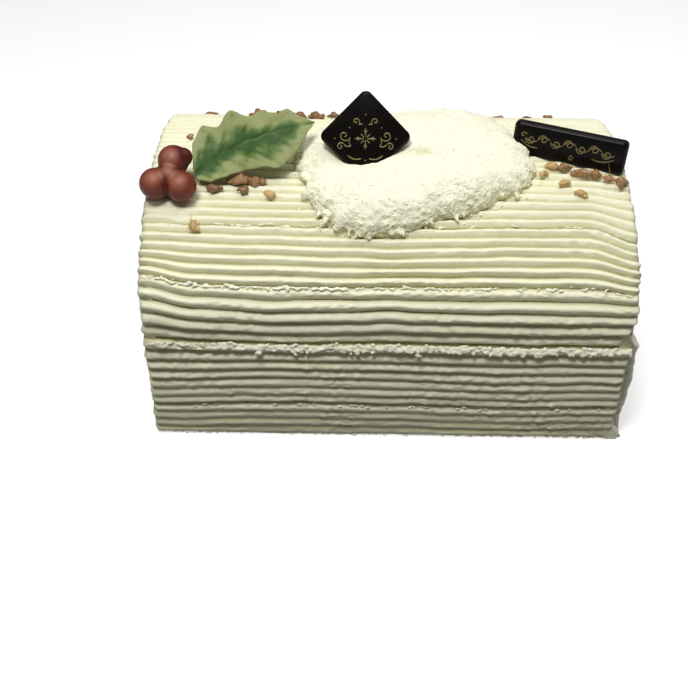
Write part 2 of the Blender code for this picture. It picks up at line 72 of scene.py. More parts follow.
class Finish:
    # one material, with a Principled shader to plug things into
    def __init__(self, name, **fixed):
        self.material = bpy.data.materials.new(name)
        self.material.use_nodes = True
        self.tree = self.material.node_tree
        self.shader = self.tree.nodes["Principled BSDF"]
        for socketName, value in fixed.items():
            self.shader.inputs[socketName.replace("_", " ")].default_value = value

    def node(self, kind, settings, values, out=0):
        made = self.tree.nodes.new(kind)
        for setting, value in settings.items():
            if setting == "stops":
                setStops(made.color_ramp, value)
            else:
                setattr(made, setting, value)
        for place, value in values.items():
            self.plug(made.inputs[place], value)
        return Wire(self, made.outputs[out])

    def plug(self, socket, value):
        if isinstance(value, Wire):
            self.tree.links.new(value.socket, socket)
        else:
            socket.default_value = value

    def feed(self, **wires):
        for socketName, wire in wires.items():
            self.plug(self.shader.inputs[socketName.replace("_", " ")], wire)

    def place(self, stretch=(1, 1, 1)):
        # position on the cake in millimetres, stretched so that grain can run one way
        spot = self.node("ShaderNodeTexCoord", {}, {}, "Object")
        scale = tuple(1000 / part for part in stretch)
        return self.node("ShaderNodeVectorMath", {"operation": "MULTIPLY"}, {0: spot, 1: scale})

    def grain(self, size, detail=2.0, stretch=(1, 1, 1)):
        # cloudy noise with grains about size across
        return self.node("ShaderNodeTexNoise", {},
                         {"Vector": self.place(stretch), "Scale": 1 / size, "Detail": detail}, "Fac")

    def pits(self, size):
        # distance to the nearest of many scattered points
        return self.node("ShaderNodeTexVoronoi", {}, {"Vector": self.place(), "Scale": 1 / size}, "Distance")

    def ramp(self, wire, stops):
        return self.node("ShaderNodeValToRGB", {"stops": stops}, {"Fac": wire}, "Color")

    def step(self, wire, low, high):
        # 0 below low, 1 above high, eased between
        return self.node("ShaderNodeMapRange", {"interpolation_type": "SMOOTHSTEP"},
                         {"Value": wire, "From Min": low, "From Max": high}, "Result")

    def painted(self, name):
        # a number stored on the mesh
        return self.node("ShaderNodeAttribute", {"attribute_name": name}, {}, "Fac")

    def blend(self, mask, under, over):
        # one colour under another, which shows where the mask is 1
        return self.node("ShaderNodeMix", {"data_type": "RGBA", "clamp_factor": True},
                         {0: mask, 6: rgba(under), 7: rgba(over)}, 2)

    def bump(self, height, depth, strength):
        return self.node("ShaderNodeBump", {}, {"Height": height, "Distance": depth, "Strength": strength},
                         "Normal")


def setStops(ramp, stops):
    while len(ramp.elements) > 1:
        ramp.elements.remove(ramp.elements[-1])
    for number, (position, colour) in enumerate(stops):
        stop = ramp.elements[0] if number == 0 else ramp.elements.new(position)
        stop.position = position
        stop.color = rgba(colour)


def rgba(colour):
    return colour if isinstance(colour, Wire) else (*colour[:3], 1)


# Mesh helpers

def ease(value):
    value = np.clip(value, 0, 1)
    return value * value * (3 - 2 * value)


latticeSize = 64   # the noise repeats after so many humps


def softNoise(seed, *spots):
    # smooth noise from -1 to 1 over a lattice of whole numbers, in two or three directions
    lattice = np.random.default_rng(seed).uniform(-1, 1, (latticeSize,) * len(spots))
    cells = [np.floor(spot).astype(int) for spot in spots]
    parts = [ease(spot - cell) for spot, cell in zip(spots, cells)]
    total = 0.0
    for corner in itertools.product((0, 1), repeat=len(spots)):
        weight = 1.0
        for side, part in zip(corner, parts):
            weight = weight * (part if side else 1 - part)
        spot = tuple((cell + side) % latticeSize for cell, side in zip(cells, corner))
        total = total + weight * lattice[spot]
    return total


def humps(seed, first, second, firstSize, secondSize):
    # soft noise over a surface, in humps of about these sizes (mm)
    return softNoise(seed, first / (firstSize * mm), second / (secondSize * mm))


def grit(seed, points, size):
    # soft noise through space, in grains of about this size (mm)
    return softNoise(seed, *(points.T / (size * mm)))


def linked(name, data):
    thing = bpy.data.objects.new(name, data)
    bpy.context.scene.collection.objects.link(thing)
    return thing


def makePiece(name, points, faces, finish, replaced, numbers=None):
    mesh = bpy.data.meshes.new(name)
    mesh.from_pydata(np.asarray(points).reshape(-1, 3).tolist(), [], faces)
    return dressMesh(name, mesh, finish, replaced, numbers)


def dressMesh(name, mesh, finish, replaced, numbers=None):
    for attributeName, values in (numbers or {}).items():
        attribute = mesh.attributes.new(attributeName, "FLOAT", "POINT")
        attribute.data.foreach_set("value", np.asarray(values, np.float32).ravel())
    mesh.shade_smooth()
    mesh.materials.append(finish.material)
    piece = linked(name, mesh)
    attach(piece, "root")
    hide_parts(replaced)
    return piece


def gridFaces(rows, columns, start=0):
    # quads between neighbouring points of a grid that is closed round its columns
    row, column = np.meshgrid(np.arange(rows - 1), np.arange(columns), indexing="ij")
    following = (column + 1) % columns
    here, there = row * columns + start, (row + 1) * columns + start
    corners = np.stack([here + column, here + following, there + following, there + column], axis=-1)
    return corners.reshape(-1, 4).tolist()


def tubeFaces(rows, columns, start=0):
    # the same, with a cap on each end
    last = start + (rows - 1) * columns
    caps = [list(range(start, start + columns))[::-1], list(range(last, last + columns))]
    return gridFaces(rows, columns, start) + caps


def ball(subdivisions=2):
    # the points and triangles of a ball one across
    form = bmesh.new()
    bmesh.ops.create_icosphere(form, subdivisions=subdivisions, radius=0.5)
    points = np.array([vertex.co[:] for vertex in form.verts])
    faces = np.array([[vertex.index for vertex in face.verts] for face in form.faces])
    form.free()
    return points, faces


ballPoints, ballFaces = ball()


def lump(place, heading, tilt, size):
    # one blob, long in x before it is turned
    turn = Matrix.Rotation(heading, 3, "Z") @ Matrix.Rotation(tilt, 3, "Y")
    return ballPoints * np.array(size) @ np.array(turn).T + np.array(place)


def melted(bodies, voxel, smoothing):
    # melts overlapping bodies into one skin of even squares, then softens it
    points, faces, start = [], [], 0
    for bodyPoints, bodyFaces in bodies:
        points.append(bodyPoints)
        faces += [[corner + start for corner in face] for face in bodyFaces]
        start += len(bodyPoints)
    mesh = bpy.data.meshes.new("melting")
    mesh.from_pydata(np.concatenate(points).tolist(), [], faces)
    thing = linked("melting", mesh)
    remesh = thing.modifiers.new("melt", "REMESH")
    remesh.mode = "VOXEL"
    remesh.voxel_size = voxel
    if smoothing:
        soften = thing.modifiers.new("soften", "SMOOTH")
        soften.factor = 0.5
        soften.iterations = smoothing
    seen = thing.evaluated_get(bpy.context.evaluated_depsgraph_get())
    skin = bpy.data.meshes.new_from_object(seen)
    bpy.data.objects.remove(thing)
    bpy.data.meshes.remove(mesh)
    return skin


def pointsOf(mesh, what="co"):
    flat = np.zeros(len(mesh.vertices) * 3, np.float32)
    mesh.vertices.foreach_get(what, flat)
    return flat.reshape(-1, 3).astype(float)


def movePoints(mesh, points):
    mesh.vertices.foreach_set("co", points.astype(np.float32).ravel())
    mesh.update()


# Camera, light and floor

cameraSetup = dict(
    place=(-10.3 * mm, -319.2 * mm, 248.3 * mm),
    down=math.radians(38.144), yaw=math.radians(-0.626), roll=math.radians(0.391),
    focalPixels=1100, framePixels=688, sensor=36.0, nearest=0.01, farthest=50,
)
lightSetup = dict(
    overhead=dict(place=(120 * mm, 60 * mm, 680 * mm), size=640 * mm, power=2.0),
    front=dict(place=(-110 * mm, -270 * mm, 670 * mm), size=200 * mm, power=2.75),
    aim=(0, 0, 40 * mm),
    skyColour=(1.0, 1.0, 0.985), skyStrength=0.10,
    floorColour=(0.90, 0.90, 0.89), floorSize=6.0, floorGap=0.05 * mm, floorGlow=0.42,
)


def makeCamera():
    data = bpy.data.cameras.new("photoCamera")
    data.sensor_width = cameraSetup["sensor"]
    data.lens = cameraSetup["sensor"] * cameraSetup["focalPixels"] / cameraSetup["framePixels"]
    data.clip_start = cameraSetup["nearest"]
    data.clip_end = cameraSetup["farthest"]
    camera = linked("photoCamera", data)
    down, yaw, roll = cameraSetup["down"], cameraSetup["yaw"], cameraSetup["roll"]
    ahead = Vector((math.sin(yaw) * math.cos(down), math.cos(yaw) * math.cos(down), -math.sin(down)))
    level = ahead.cross(Vector((0, 0, 1))).normalized()
    above = level.cross(ahead)
    right = level * math.cos(roll) + above * math.sin(roll)
    up = above * math.cos(roll) - level * math.sin(roll)
    turn = Matrix((right, up, -ahead)).transposed().to_4x4()
    camera.matrix_world = Matrix.Translation(cameraSetup["place"]) @ turn
    bpy.context.scene.camera = camera


def makeLamp(name):
    setup = lightSetup[name]
    data = bpy.data.lights.new(name + "Lamp", "AREA")
    data.shape = "DISK"
    data.size = setup["size"]
    data.energy = setup["power"]
    lamp = linked(name + "Lamp", data)
    lamp.location = setup["place"]
    aim = Vector(lightSetup["aim"]) - Vector(setup["place"])
    lamp.rotation_euler = aim.to_track_quat("-Z", "Y").to_euler()


def makeStudio():
    setup = lightSetup
    makeLamp("overhead")
    makeLamp("front")
    world = bpy.data.worlds.new("paleRoom")
    world.use_nodes = True
    sky = world.node_tree.nodes["Background"]
    sky.inputs["Color"].default_value = rgba(setup["skyColour"])
    sky.inputs["Strength"].default_value = setup["skyStrength"]
    bpy.context.scene.world = world
    bpy.context.scene.view_settings.view_transform = "Standard"
    half = setup["floorSize"] / 2
    mesh = bpy.data.meshes.new("paleFloor")
    mesh.from_pydata([(-half, -half, 0), (half, -half, 0), (half, half, 0), (-half, half, 0)], [],
                     [(0, 1, 2, 3)])
    floor = linked("paleFloor", mesh)
    floor.location.z = -setup["floorGap"]
    floor.visible_diffuse = False   # the pale floor throws no light back up at the cake's sides
    matt = Finish("palePaint", Roughness=0.9, Emission_Color=(1, 1, 1, 1),
                  Emission_Strength=setup["floorGlow"])
    matt.feed(Base_Color=matt.blend(matt.grain(40) * 0.2, setup["floorColour"],
                                    tuple(part * 0.97 for part in setup["floorColour"])))
    mesh.materials.append(matt.material)


makeCamera()
makeStudio()
print("camera, lights and floor placed")


# The cake's form: an arched section carried along x, measured round from the front foot

cakeForm = dict(
    length=150 * mm, width=110 * mm, height=79 * mm,
    sideHeight=47.7 * mm,   # the side passes into the crown here
    crownPower=2.08,        # 2 would be an ellipse
    footTuck=3.1 * mm,      # how far the foot is drawn in
    sag=dict(amount=-4.6 * mm, middle=80 * mm, spread=19 * mm, start=60 * mm),   # ridges near the right end
    rise=dict(amount=2.8 * mm, middle=56 * mm, spread=16 * mm, start=58 * mm),   # and near the left
)


def sectionOutline(samples=240):
    half, side = cakeForm["width"] / 2, cakeForm["sideHeight"]
    sideZ = np.linspace(0, side, samples)
    sideY = half - cakeForm["footTuck"] * (1 - sideZ / side) ** 2
    turn = np.linspace(0, math.pi / 2, samples)[1:]
    crownY = half * np.abs(np.cos(turn)) ** (2 / cakeForm["crownPower"])
    crownZ = side + (cakeForm["height"] - side) * np.sin(turn) ** (2 / cakeForm["crownPower"])
    frontY, frontZ = -np.concatenate([sideY, crownY]), np.concatenate([sideZ, crownZ])
    y = np.concatenate([frontY, -frontY[-2::-1]])
    z = np.concatenate([frontZ, frontZ[-2::-1]])
    path = np.concatenate([[0], np.cumsum(np.hypot(np.diff(y), np.diff(z)))])
    return path, y, z


sectionPath, sectionY, sectionZ = sectionOutline()
girth = float(sectionPath[-1])
crown = girth / 2
evenPath = np.linspace(0, girth, 400)
evenY = np.interp(evenPath, sectionPath, sectionY)
evenZ = np.interp(evenPath, sectionPath, sectionZ)
slopeY, slopeZ = np.gradient(evenY), np.gradient(evenZ)
slopeLength = np.hypot(slopeY, slopeZ)
normalY, normalZ = -slopeZ / slopeLength, slopeY / slopeLength


def onCake(x, around, height=0.0):
    # a point x along the cake and so far round it, raised from its surface
    y = np.interp(around, evenPath, evenY) + height * np.interp(around, evenPath, normalY)
    z = np.interp(around, evenPath, evenZ) + height * np.interp(around, evenPath, normalZ)
    return np.stack(np.broadcast_arrays(x, y, z), axis=-1)


def outward(around):
    # the surface's direction there
    y, z = np.interp(around, evenPath, normalY), np.interp(around, evenPath, normalZ)
    return np.stack(np.broadcast_arrays(0.0, y, z), axis=-1)


def roundOf(points):
    # the way back: how far round the cake points lie, and their height over its surface
    flat = points.reshape(-1, 3)
    away = (flat[:, 1:2] - evenY) ** 2 + (flat[:, 2:3] - evenZ) ** 2
    nearest = away.argmin(axis=1)
    height = ((flat[:, 1] - evenY[nearest]) * normalY[nearest]
              + (flat[:, 2] - evenZ[nearest]) * normalZ[nearest])
    return evenPath[nearest], height


def drift(x, around):
    # how far the ridges wander round the cake towards its ends
    total = 0.0
    for side, bend in ((1, cakeForm["sag"]), (-1, cakeForm["rise"])):
        reach = ease((side * x - bend["start"]) / (cakeForm["length"] / 2 - bend["start"]))
        total = total + bend["amount"] * reach * np.exp(-((around - bend["middle"]) / bend["spread"]) ** 2)
    return total


# Buttercream: twelve bands from a serrated nozzle, each of four to seven ridges

creamSkin = dict(
    bands=((14.0, 4), (25.5, 7), (21.0, 5), (19.8, 6), (20.2, 6), (20.0, 6),      # width, ridges
           (19.8, 6), (20.1, 6), (20.2, 6), (20.2, 5), (20.2, 6), (13.7, 4)),
    tearing=(0.55, 1.0, 0.8, 0.35, 0.1, 0.0, 0.0, 0.1, 0.35, 0.8, 1.0, 0.55),   # of each band's high edge
    rowsPerRidge=12, stations=230,
    end=75.0 * mm,            # where the ridges stop
    endRound=1.4 * mm,
    depthLow=0.8 * mm, depthFront=2.0 * mm, depthTop=1.35 * mm,   # of the grooves, up the side
    deepen=(8 * mm, 34 * mm), shallow=(66 * mm, 30 * mm),   # from how far up, and over what way
    edgeDepth=2.1 * mm,       # between two bands
    crest=0.48,               # where the ridge peaks, from its lower groove
    underBend=1.55, shelfBend=1.65,   # how its underside and its upper shelf fall away
    skinThickness=3.6 * mm,
    notched=2, notch=3.2 * mm, notchStart=55 * mm,   # this band stops short at the right, low down
    shaded=(2, 9), layBack=0.9 * mm, layBackShare=0.24,   # the lowest ridge over each torn edge lies back
    depthSpread=0.25, crestSpread=0.25 * mm,   # how unevenly the nozzle ran
    underPoints=6,            # on a band's hidden lower side
    wander=0.8 * mm, lump=0.12 * mm, crumble=0.26 * mm, tear=1.0 * mm,
    lipWidth=1.5 * mm, lipDrift=0.35 * mm,
    endCurl=1.3 * mm, endSink=0.35 * mm, endRag=0.5 * mm,
    footShade=(0.5, 18 * mm),   # painted shade: how much darker the foot is painted, and up to what height
)
berrySmear = dict(x=-67 * mm, around=86 * mm, length=9 * mm, width=6.5 * mm, calm=0.7, lump=0.5 * mm)
# deep is painted shade: the colour the cream is painted towards in its grooves, in the gaps between bands and
# at the foot
creamColours = dict(
    pale=(0.90, 0.885, 0.64), deep=(0.59, 0.55, 0.30), warm=(0.89, 0.86, 0.54), white=(0.96, 0.95, 0.80),
    roughness=0.44, glow=0.10, glowDepth=1.0 * mm,
)
# painted light: a paler copy of the buttercream, so that the torn lips, which lie in shade, look lit
tornPaintedLightColours = dict(creamColours, pale=(0.98, 0.97, 0.76), deep=(0.86, 0.83, 0.52))


def buttercream(name, look):
    cream = Finish(name, Subsurface_Weight=look["glow"], Subsurface_Radius=(1.0, 0.9, 0.55),
                   Subsurface_Scale=look["glowDepth"], IOR=1.45, Specular_IOR_Level=0.4)
    groove = cream.painted("groove")
    patches = cream.step(cream.grain(9, 3, (2.5, 1, 1)), 0.5, 0.72)
    # painted shade: the cream is painted towards the deep colour where the groove number runs high
    tint = cream.blend(cream.step(groove, 0.28, 1.0) * 0.9, look["pale"], look["deep"])
    tint = cream.blend(patches * 0.35, tint, look["warm"])
    tint = cream.blend(cream.step(cream.grain(0.8, 2), 0.4, 0.8) * 0.3, tint, look["white"])
    smear = cream.grain(1.1, 3, (4, 1, 1))
    bubbles = 1 - cream.step(cream.pits(1.6), 0.05, 0.22)
    relief = smear * 0.6 + cream.grain(0.42, 3) * 0.5 - bubbles * 0.35
    cream.feed(Base_Color=tint, Roughness=look["roughness"] - 0.1 + smear * 0.2,
               Normal=cream.bump(relief, 0.12 * mm, 0.8))
    return cream


def grooveDepth(around):
    # shallow at the foot and on top, deepest half way up each side
    high = np.minimum(around, girth - around)
    foot, top = (ease((high - start) / way) for start, way in (creamSkin["deepen"], creamSkin["shallow"]))
    low, front, crownDepth = creamSkin["depthLow"], creamSkin["depthFront"], creamSkin["depthTop"]
    return low + (front - low) * foot + (crownDepth - front) * top


def smeared(x, around):
    # where the trio of berries was pushed in, the ridges are smeared
    along = (x - berrySmear["x"]) / berrySmear["length"]
    across = (around - berrySmear["around"]) / berrySmear["width"]
    return np.exp(-along ** 2 - across ** 2)


def wobble(x, around):
    return creamSkin["wander"] * (humps(21, x, around, 34, 24) + 0.35 * humps(22, x, around, 9, 9))


def makeBand(number, start, width, ridges, cream):
    skin = creamSkin
    rows, stations, end = ridges * skin["rowsPerRidge"], skin["stations"], skin["end"]
    tearing = skin["tearing"][number]
    x, share = np.meshgrid(np.linspace(-end, end, stations), np.linspace(0, 1, rows + 1), indexing="ij")
    around = start + width * share
    along = share * ridges
    ridge = np.minimum(np.floor(along), ridges - 1)
    part = along - ridge

    # one ridge's profile: it hangs towards the foot, on both sides of the cake
    frontness = ease((crown - start - width / 2) / (20 * mm) + 0.5)
    peak = skin["crest"] * frontness + (1 - skin["crest"]) * (1 - frontness)
    below = part < peak
    fall = np.where(below, (peak - part) / peak, (part - peak) / (1 - peak))
    hanging = below if frontness > 0.5 else ~below
    fall = fall ** np.where(hanging, skin["underBend"], skin["shelfBend"])
    uneven = softNoise(31 + number, x / (16 * mm), ridge * 5.3)
    depth = grooveDepth(around) * (1 + skin["depthSpread"] * uneven)
    starts, stops = number > 0, number < len(skin["bands"]) - 1   # a foot has no neighbour to meet
    outer = ((ridge == 0) & below & starts) | ((ridge == ridges - 1) & ~below & stops)
    depth = np.where(outer, skin["edgeDepth"], depth)
    smear = smeared(x, around)
    height = -depth * fall * (1 - berrySmear["calm"] * smear)
    height += berrySmear["lump"] * smear * humps(5, x, around, 3, 2)
    crestLow = skin["crestSpread"] * (0.5 + 0.5 * softNoise(41 + number, x / (21 * mm), ridge * 3.7))
    height -= crestLow * (1 - fall)

    # lumps, crumbs and the torn lip along its high edge
    height += skin["lump"] * (humps(23, x, around, 3.1, 0.9) + 0.5 * humps(24, x, around, 1.1, 0.6))
    crumbly = ease(1.6 * humps(25, x, around, 15, 6) + tearing - 0.45)
    crumbs = humps(26, x, around, 1.1, 0.7) + 0.6 * humps(30, x, around, 0.6, 0.5)
    height += skin["crumble"] * crumbly * crumbs * (0.35 + 0.65 * (1 - fall) ** 2)
    highEdge = 1 - share if frontness > 0.5 else share
    lip = np.exp(-(highEdge * width / skin["lipWidth"]) ** 2) * tearing
    presence = ease(1.5 * softNoise(51 + number, x / (9 * mm), x * 0) + 0.75)
    ragged = humps(27, x, around, 2.0, 0.9) + 0.6 * humps(28, x, around, 0.9, 0.5)
    height += skin["tear"] * lip * presence * (0.5 + 0.8 * ragged)

    # the curled ends, and how far round the cake each point lies
    fromEnd = np.clip((np.abs(x) - end + skin["endRound"]) / skin["endRound"], 0, 1)
    curl = skin["endCurl"] * (1 - np.sqrt(1 - 0.98 * fromEnd ** 2))
    height -= curl + skin["endSink"] * fromEnd * (1 - fall)
    offFoot = ease((girth / 2 - np.abs(around - crown)) / (6 * mm))
    place = around + drift(x, around) + wobble(x, around) * offFoot
    place += lip * presence * skin["lipDrift"] * humps(29, x, around, 1.2, 1)
    endRagged = softNoise(61, x * 0 + np.sign(x) * 3, around / (2.2 * mm))
    endRagged = np.sign(x) * fromEnd * skin["endRag"] * endRagged
    if number == skin["notched"]:
        reach = ease((x - skin["notchStart"]) / (end - skin["notchStart"]))
        endRagged = endRagged - skin["notch"] * ease(1 - share / 0.5) * reach
    if number in skin["shaded"]:
        lowShare = share if frontness > 0.5 else 1 - share
        height -= skin["layBack"] * ease(1 - lowShare / skin["layBackShare"])
    points = onCake(x + endRagged, place, height)
    under = skin["underPoints"]
    underX, underAround = np.meshgrid(x[:, 0], start + width * np.linspace(1, 0, under), indexing="ij")
    underPoints = onCake(underX, underAround + drift(underX, underAround), -skin["skinThickness"])
    ring = np.concatenate([points, underPoints], axis=1)
    ring[..., 2] = np.maximum(ring[..., 2], 0)
    footShade, footShadeHeight = skin["footShade"]
    low = footShade * ease(1 - points[..., 2] / footShadeHeight)   # painted shade: the cream is painted darker towards the foot
    # painted shade: the groove number is highest in the troughs, lower where the berries smeared them, raised
    # at the foot, and full on the hidden underside
    shade = np.clip(fall * (1 - 0.5 * smear) + low, 0, 1)
    groove = np.concatenate([shade, np.ones((stations, under))], axis=1)
    faces = tubeFaces(stations, rows + 1 + under)
    makePiece("creamBand%02d" % (number + 1), ring, faces, cream, "log", {"groove": groove})


def makeBands(cream):
    stretch = girth / (sum(width for width, ridges in creamSkin["bands"]) * mm)
    start = 0.0
    edges = [start]
    for number, (width, ridges) in enumerate(creamSkin["bands"]):
        makeBand(number, start, width * mm * stretch, ridges, cream)
        start += width * mm * stretch
        edges.append(start)
    return edges


coreForm = dict(depth=2.6 * mm, reach=72.6 * mm, stations=40, points=90)


def makeCore(cream):
    # what lies under the piped skin, flat below
    rows, columns, reach = coreForm["stations"], coreForm["points"], coreForm["reach"]
    x, around = np.meshgrid(np.linspace(-reach, reach, rows), np.linspace(0, girth, columns), indexing="ij")
    points = onCake(x, around, -coreForm["depth"])
    points[..., 2] = np.maximum(points[..., 2], 0)
    # painted shade: the core, seen only in the gaps between bands, is painted all in the deep colour
    makePiece("creamCore", points, tubeFaces(rows, columns), cream, "log",
              {"groove": np.ones(rows * columns)})


endFinish = dict(
    face=74.4 * mm, back=71 * mm, middle=30 * mm,   # the face's rings close in on its middle
    inset=1.5 * mm, crownInset=0.6 * mm, crownRise=31 * mm,   # below the ridges' tops, more on the crown
    ragged=0.3 * mm, fineRagged=0.22 * mm,
    edgeRound=1.1 * mm, calmEdge=1.5 * mm,   # the knife's strokes fade out at the edge
    # the right end bulges softly, low on its front half, the left one far less
    soft=dict(bulge=3.4 * mm, height=22 * mm, spread=22 * mm, reach=60 * mm, leftShare=0.1),
    # at the right end's front corner this table takes over: height, bulge (mm)
    corner=((0, 4.5), (3, 4.3), (9.6, 2.9), (16, 3.4), (23, 4.1), (29, 4.0), (36, 3.5), (39, 4.0),
            (41.5, 1.2), (45, -1.3), (50, -0.4), (57, 0)),
    cornerWidth=18 * mm, bulgeRound=0.5,   # rounder where it bulges
    strokeWidth=12.5 * mm, strokeStep=0.6 * mm, strokeEdge=0.16, streak=0.16 * mm,
    points=240, basePoints=60, rings=52,
)


def endBulge(side, y, z):
    soft = endFinish["soft"]
    broad = soft["bulge"] * np.exp(-((z - soft["height"]) / soft["spread"]) ** 2)
    broad = broad * ease(0.5 - y / soft["reach"])
    if side < 0:
        return broad * soft["leftShare"]
    heights, bulges = np.array(endFinish["corner"]).T * mm
    atCorner = ease(1 - (y + cakeForm["width"] / 2) / endFinish["cornerWidth"])
    return broad + atCorner * (np.interp(z, heights, bulges) - broad)


def knifeStrokes(side, y, z):
    # overlapping strokes of a palette knife, each a low step with fine streaks
    waver = 1.6 * mm * humps(75 + side, y, z, 22, 18)
    stroke = (z * 0.94 + y * 0.3 * side + waver) / endFinish["strokeWidth"] + 0.37
    part = stroke - np.floor(stroke)
    step = endFinish["strokeStep"] * part ** 3 * ease((1 - part) / endFinish["strokeEdge"])
    return step + endFinish["streak"] * (humps(77 + side, y - 0.3 * z, z + 0.3 * y, 16, 2.6) + 1)


def makeEnd(name, side, cream):
    setup = endFinish
    around = np.linspace(0, girth, setup["points"])
    upness = ease((np.interp(around, evenPath, evenZ) - cakeForm["sideHeight"]) / setup["crownRise"])
    ragged = setup["ragged"] * softNoise(71 + side, around / (3 * mm), around * 0)
    ragged += setup["fineRagged"] * softNoise(73 + side, around / (0.9 * mm), around * 0)
    inset = setup["inset"] + setup["crownInset"] * upness - ragged
    rim = onCake(0.0, around, -inset)[:, 1:]
    rim[:, 1] = np.maximum(rim[:, 1], 0)
    loop = np.concatenate([rim, np.linspace(rim[-1], rim[0], setup["basePoints"])[1:-1]])
    count = len(loop)
    middle = np.array([0.0, setup["middle"]])
    reach = np.hypot(*(loop - middle).T)
    shares = 1 - np.linspace(0, 1, setup["rings"] + 1)[:-1] ** 1.1
    rings = [np.insert(loop, 0, side * setup["back"], axis=1)]   # the wall starts behind the face
    for share in [shares[0], *shares]:   # the rim twice, which keeps a crease between wall and face
        y, z = (middle + (loop - middle) * share).T
        inward = reach * (1 - share)
        bulge = endBulge(side, y, z)
        bend = setup["edgeRound"] + setup["bulgeRound"] * bulge
        depth = bend * (1 - np.sqrt(1 - 0.96 * np.clip(1 - inward / bend, 0, 1) ** 2))
        depth = depth * ease(z / setup["calmEdge"]) - bulge
        depth = depth + ease(inward / setup["calmEdge"]) * knifeStrokes(side, y * side, z)
        rings.append(np.stack([side * (setup["face"] - depth), y, z], axis=-1))
    hub = len(rings) * count   # closes the back
    points = np.concatenate([*rings, [[side * setup["back"], 0, middle[1]]]])
    faces = gridFaces(len(rings), count) + [list(range(hub - count, hub))]
    faces += [[hub, (spoke + 1) % count, spoke] for spoke in range(count)]
    if side < 0:
        faces = [face[::-1] for face in faces]
    makePiece(name, points, faces, cream, "log", {"groove": np.full(len(points), 0.05)})


tornCream = dict(
    voxel=0.28 * mm, smoothing=1, grit=0.13 * mm, fineGrit=0.11 * mm,
    # number of the band's edge, from x, to x, lumps per mm, shortest, longest, thickness (mm)
    lips=((1, -62, 72, 0.4, 0.8, 2.4, 0.7), (2, -54, 75, 6.5, 0.8, 2.4, 1.15),
          (2, -74, -54, 1.2, 0.8, 2.4, 0.8), (3, -73, -12, 2.6, 0.8, 2.4, 0.7),
          (3, -12, 74, 1.2, 0.8, 2.4, 0.6), (4, -70, 72, 0.3, 1.5, 4.0, 0.7),
          (8, -70, 72, 0.3, 1.5, 4.0, 0.7), (9, -73, 74, 1.8, 0.8, 2.4, 0.7),
          (10, -74, 74, 6.0, 0.8, 2.4, 1.15), (11, -70, 72, 0.4, 0.8, 2.4, 0.7)),
    sunk=0.24, sink=0.2 * mm,   # how much of a lump lies under the ridges' tops
    below=0.55, belowSpread=0.46,   # how far it hangs under the band's edge, times its thickness
    # how much further out it stands as it hangs lower, from where, and at least and most how low
    lean=0.55, leanStart=0.8 * mm, leanLow=-0.6 * mm, leanHigh=1.6 * mm,
    # crumbs along the foot, more of them at the front (mm)
    footLumps=230, footSize=(0.4, 1.1), footX=(-73, 74), footY=(51.2, 51.8), footFront=0.6,
    # dabs at the right front corner (mm)
    dabs=18, dabX=72.6, dabRun=3.6, dabY=-51.6, dabLow=0.6, dabHigh=9, dabSize=(2.0, 2.8),
)


def makeTornLips(edges, cream):
    setup = tornCream
    dice = random.Random(17)
    blobs = []
    for edge, start, end, often, shortest, longest, thick in setup["lips"]:
        around = edges[edge]
        for _ in range(int((end - start) * often)):
            x = dice.uniform(start, end) * mm
            place = around + float(drift(x, around)) + float(wobble(x, around))
            hang = dice.gauss(setup["below"], setup["belowSpread"]) * thick * mm
            place += -hang if around < crown else hang
            length = dice.uniform(shortest, longest) * mm
            width = thick * dice.uniform(0.4, 1.0) * mm
            height = (dice.uniform(0.0, 0.5) - setup["sunk"]) * width - setup["sink"]
            low = max(setup["leanLow"], min(hang - setup["leanStart"], setup["leanHigh"]))
            spot = Vector(onCake(x, place, height + setup["lean"] * low))
            blobs.append(lump(spot, dice.gauss(0, 0.2), dice.gauss(0, 0.22), (length, width * 1.15, width)))
    for _ in range(setup["footLumps"]):
        size = dice.uniform(*setup["footSize"]) * mm
        side = -1 if dice.random() < setup["footFront"] else 1
        y = side * dice.uniform(*setup["footY"]) * mm
        spot = Vector((dice.uniform(*setup["footX"]) * mm, y, 0.3 * size))
        blobs.append(lump(spot, dice.uniform(-0.9, 0.9), 0, (size * 1.2, size * 0.9, size * 0.7)))
    for share in np.linspace(0, 1, setup["dabs"]):
        z = setup["dabLow"] + setup["dabHigh"] * (1 - 0.6 * share) * dice.random() ** 1.5
        spot = Vector((setup["dabX"] + setup["dabRun"] * share, setup["dabY"], z)) * mm
        size = dice.uniform(*setup["dabSize"]) * mm
        blobs.append(lump(spot, 0, dice.uniform(0.9, 1.4), (size * 1.6, size * 0.32, size * 0.8)))
    for blob in blobs:
        blob[:, 2] = np.maximum(blob[:, 2], 0)
    mesh = melted([(blob, ballFaces) for blob in blobs], setup["voxel"], setup["smoothing"])
    points = pointsOf(mesh)
    rise = setup["grit"] * grit(33, points, 0.75) + setup["fineGrit"] * grit(34, points, 0.38)
    points += pointsOf(mesh, "normal") * rise[:, None]
    points[:, 2] = np.maximum(points[:, 2], 0)
    movePoints(mesh, points)
    # painted shade: darker in the dips of the grit
    groove = np.clip(0.05 - rise / (0.4 * mm), 0, 0.7)
    dressMesh("creamTornLips", mesh, cream, "log", {"groove": groove})


cream = buttercream("buttercream", creamColours)
bandEdges = makeBands(cream)
makeCore(cream)
makeEnd("creamEndRight", 1, cream)
makeEnd("creamEndLeft", -1, cream)
makeTornLips(bandEdges, buttercream("tornButtercreamPaintedLight", tornPaintedLightColours))
print("buttercream piped")


# Plaques: moulded dark chocolate tablets with fine gold lines

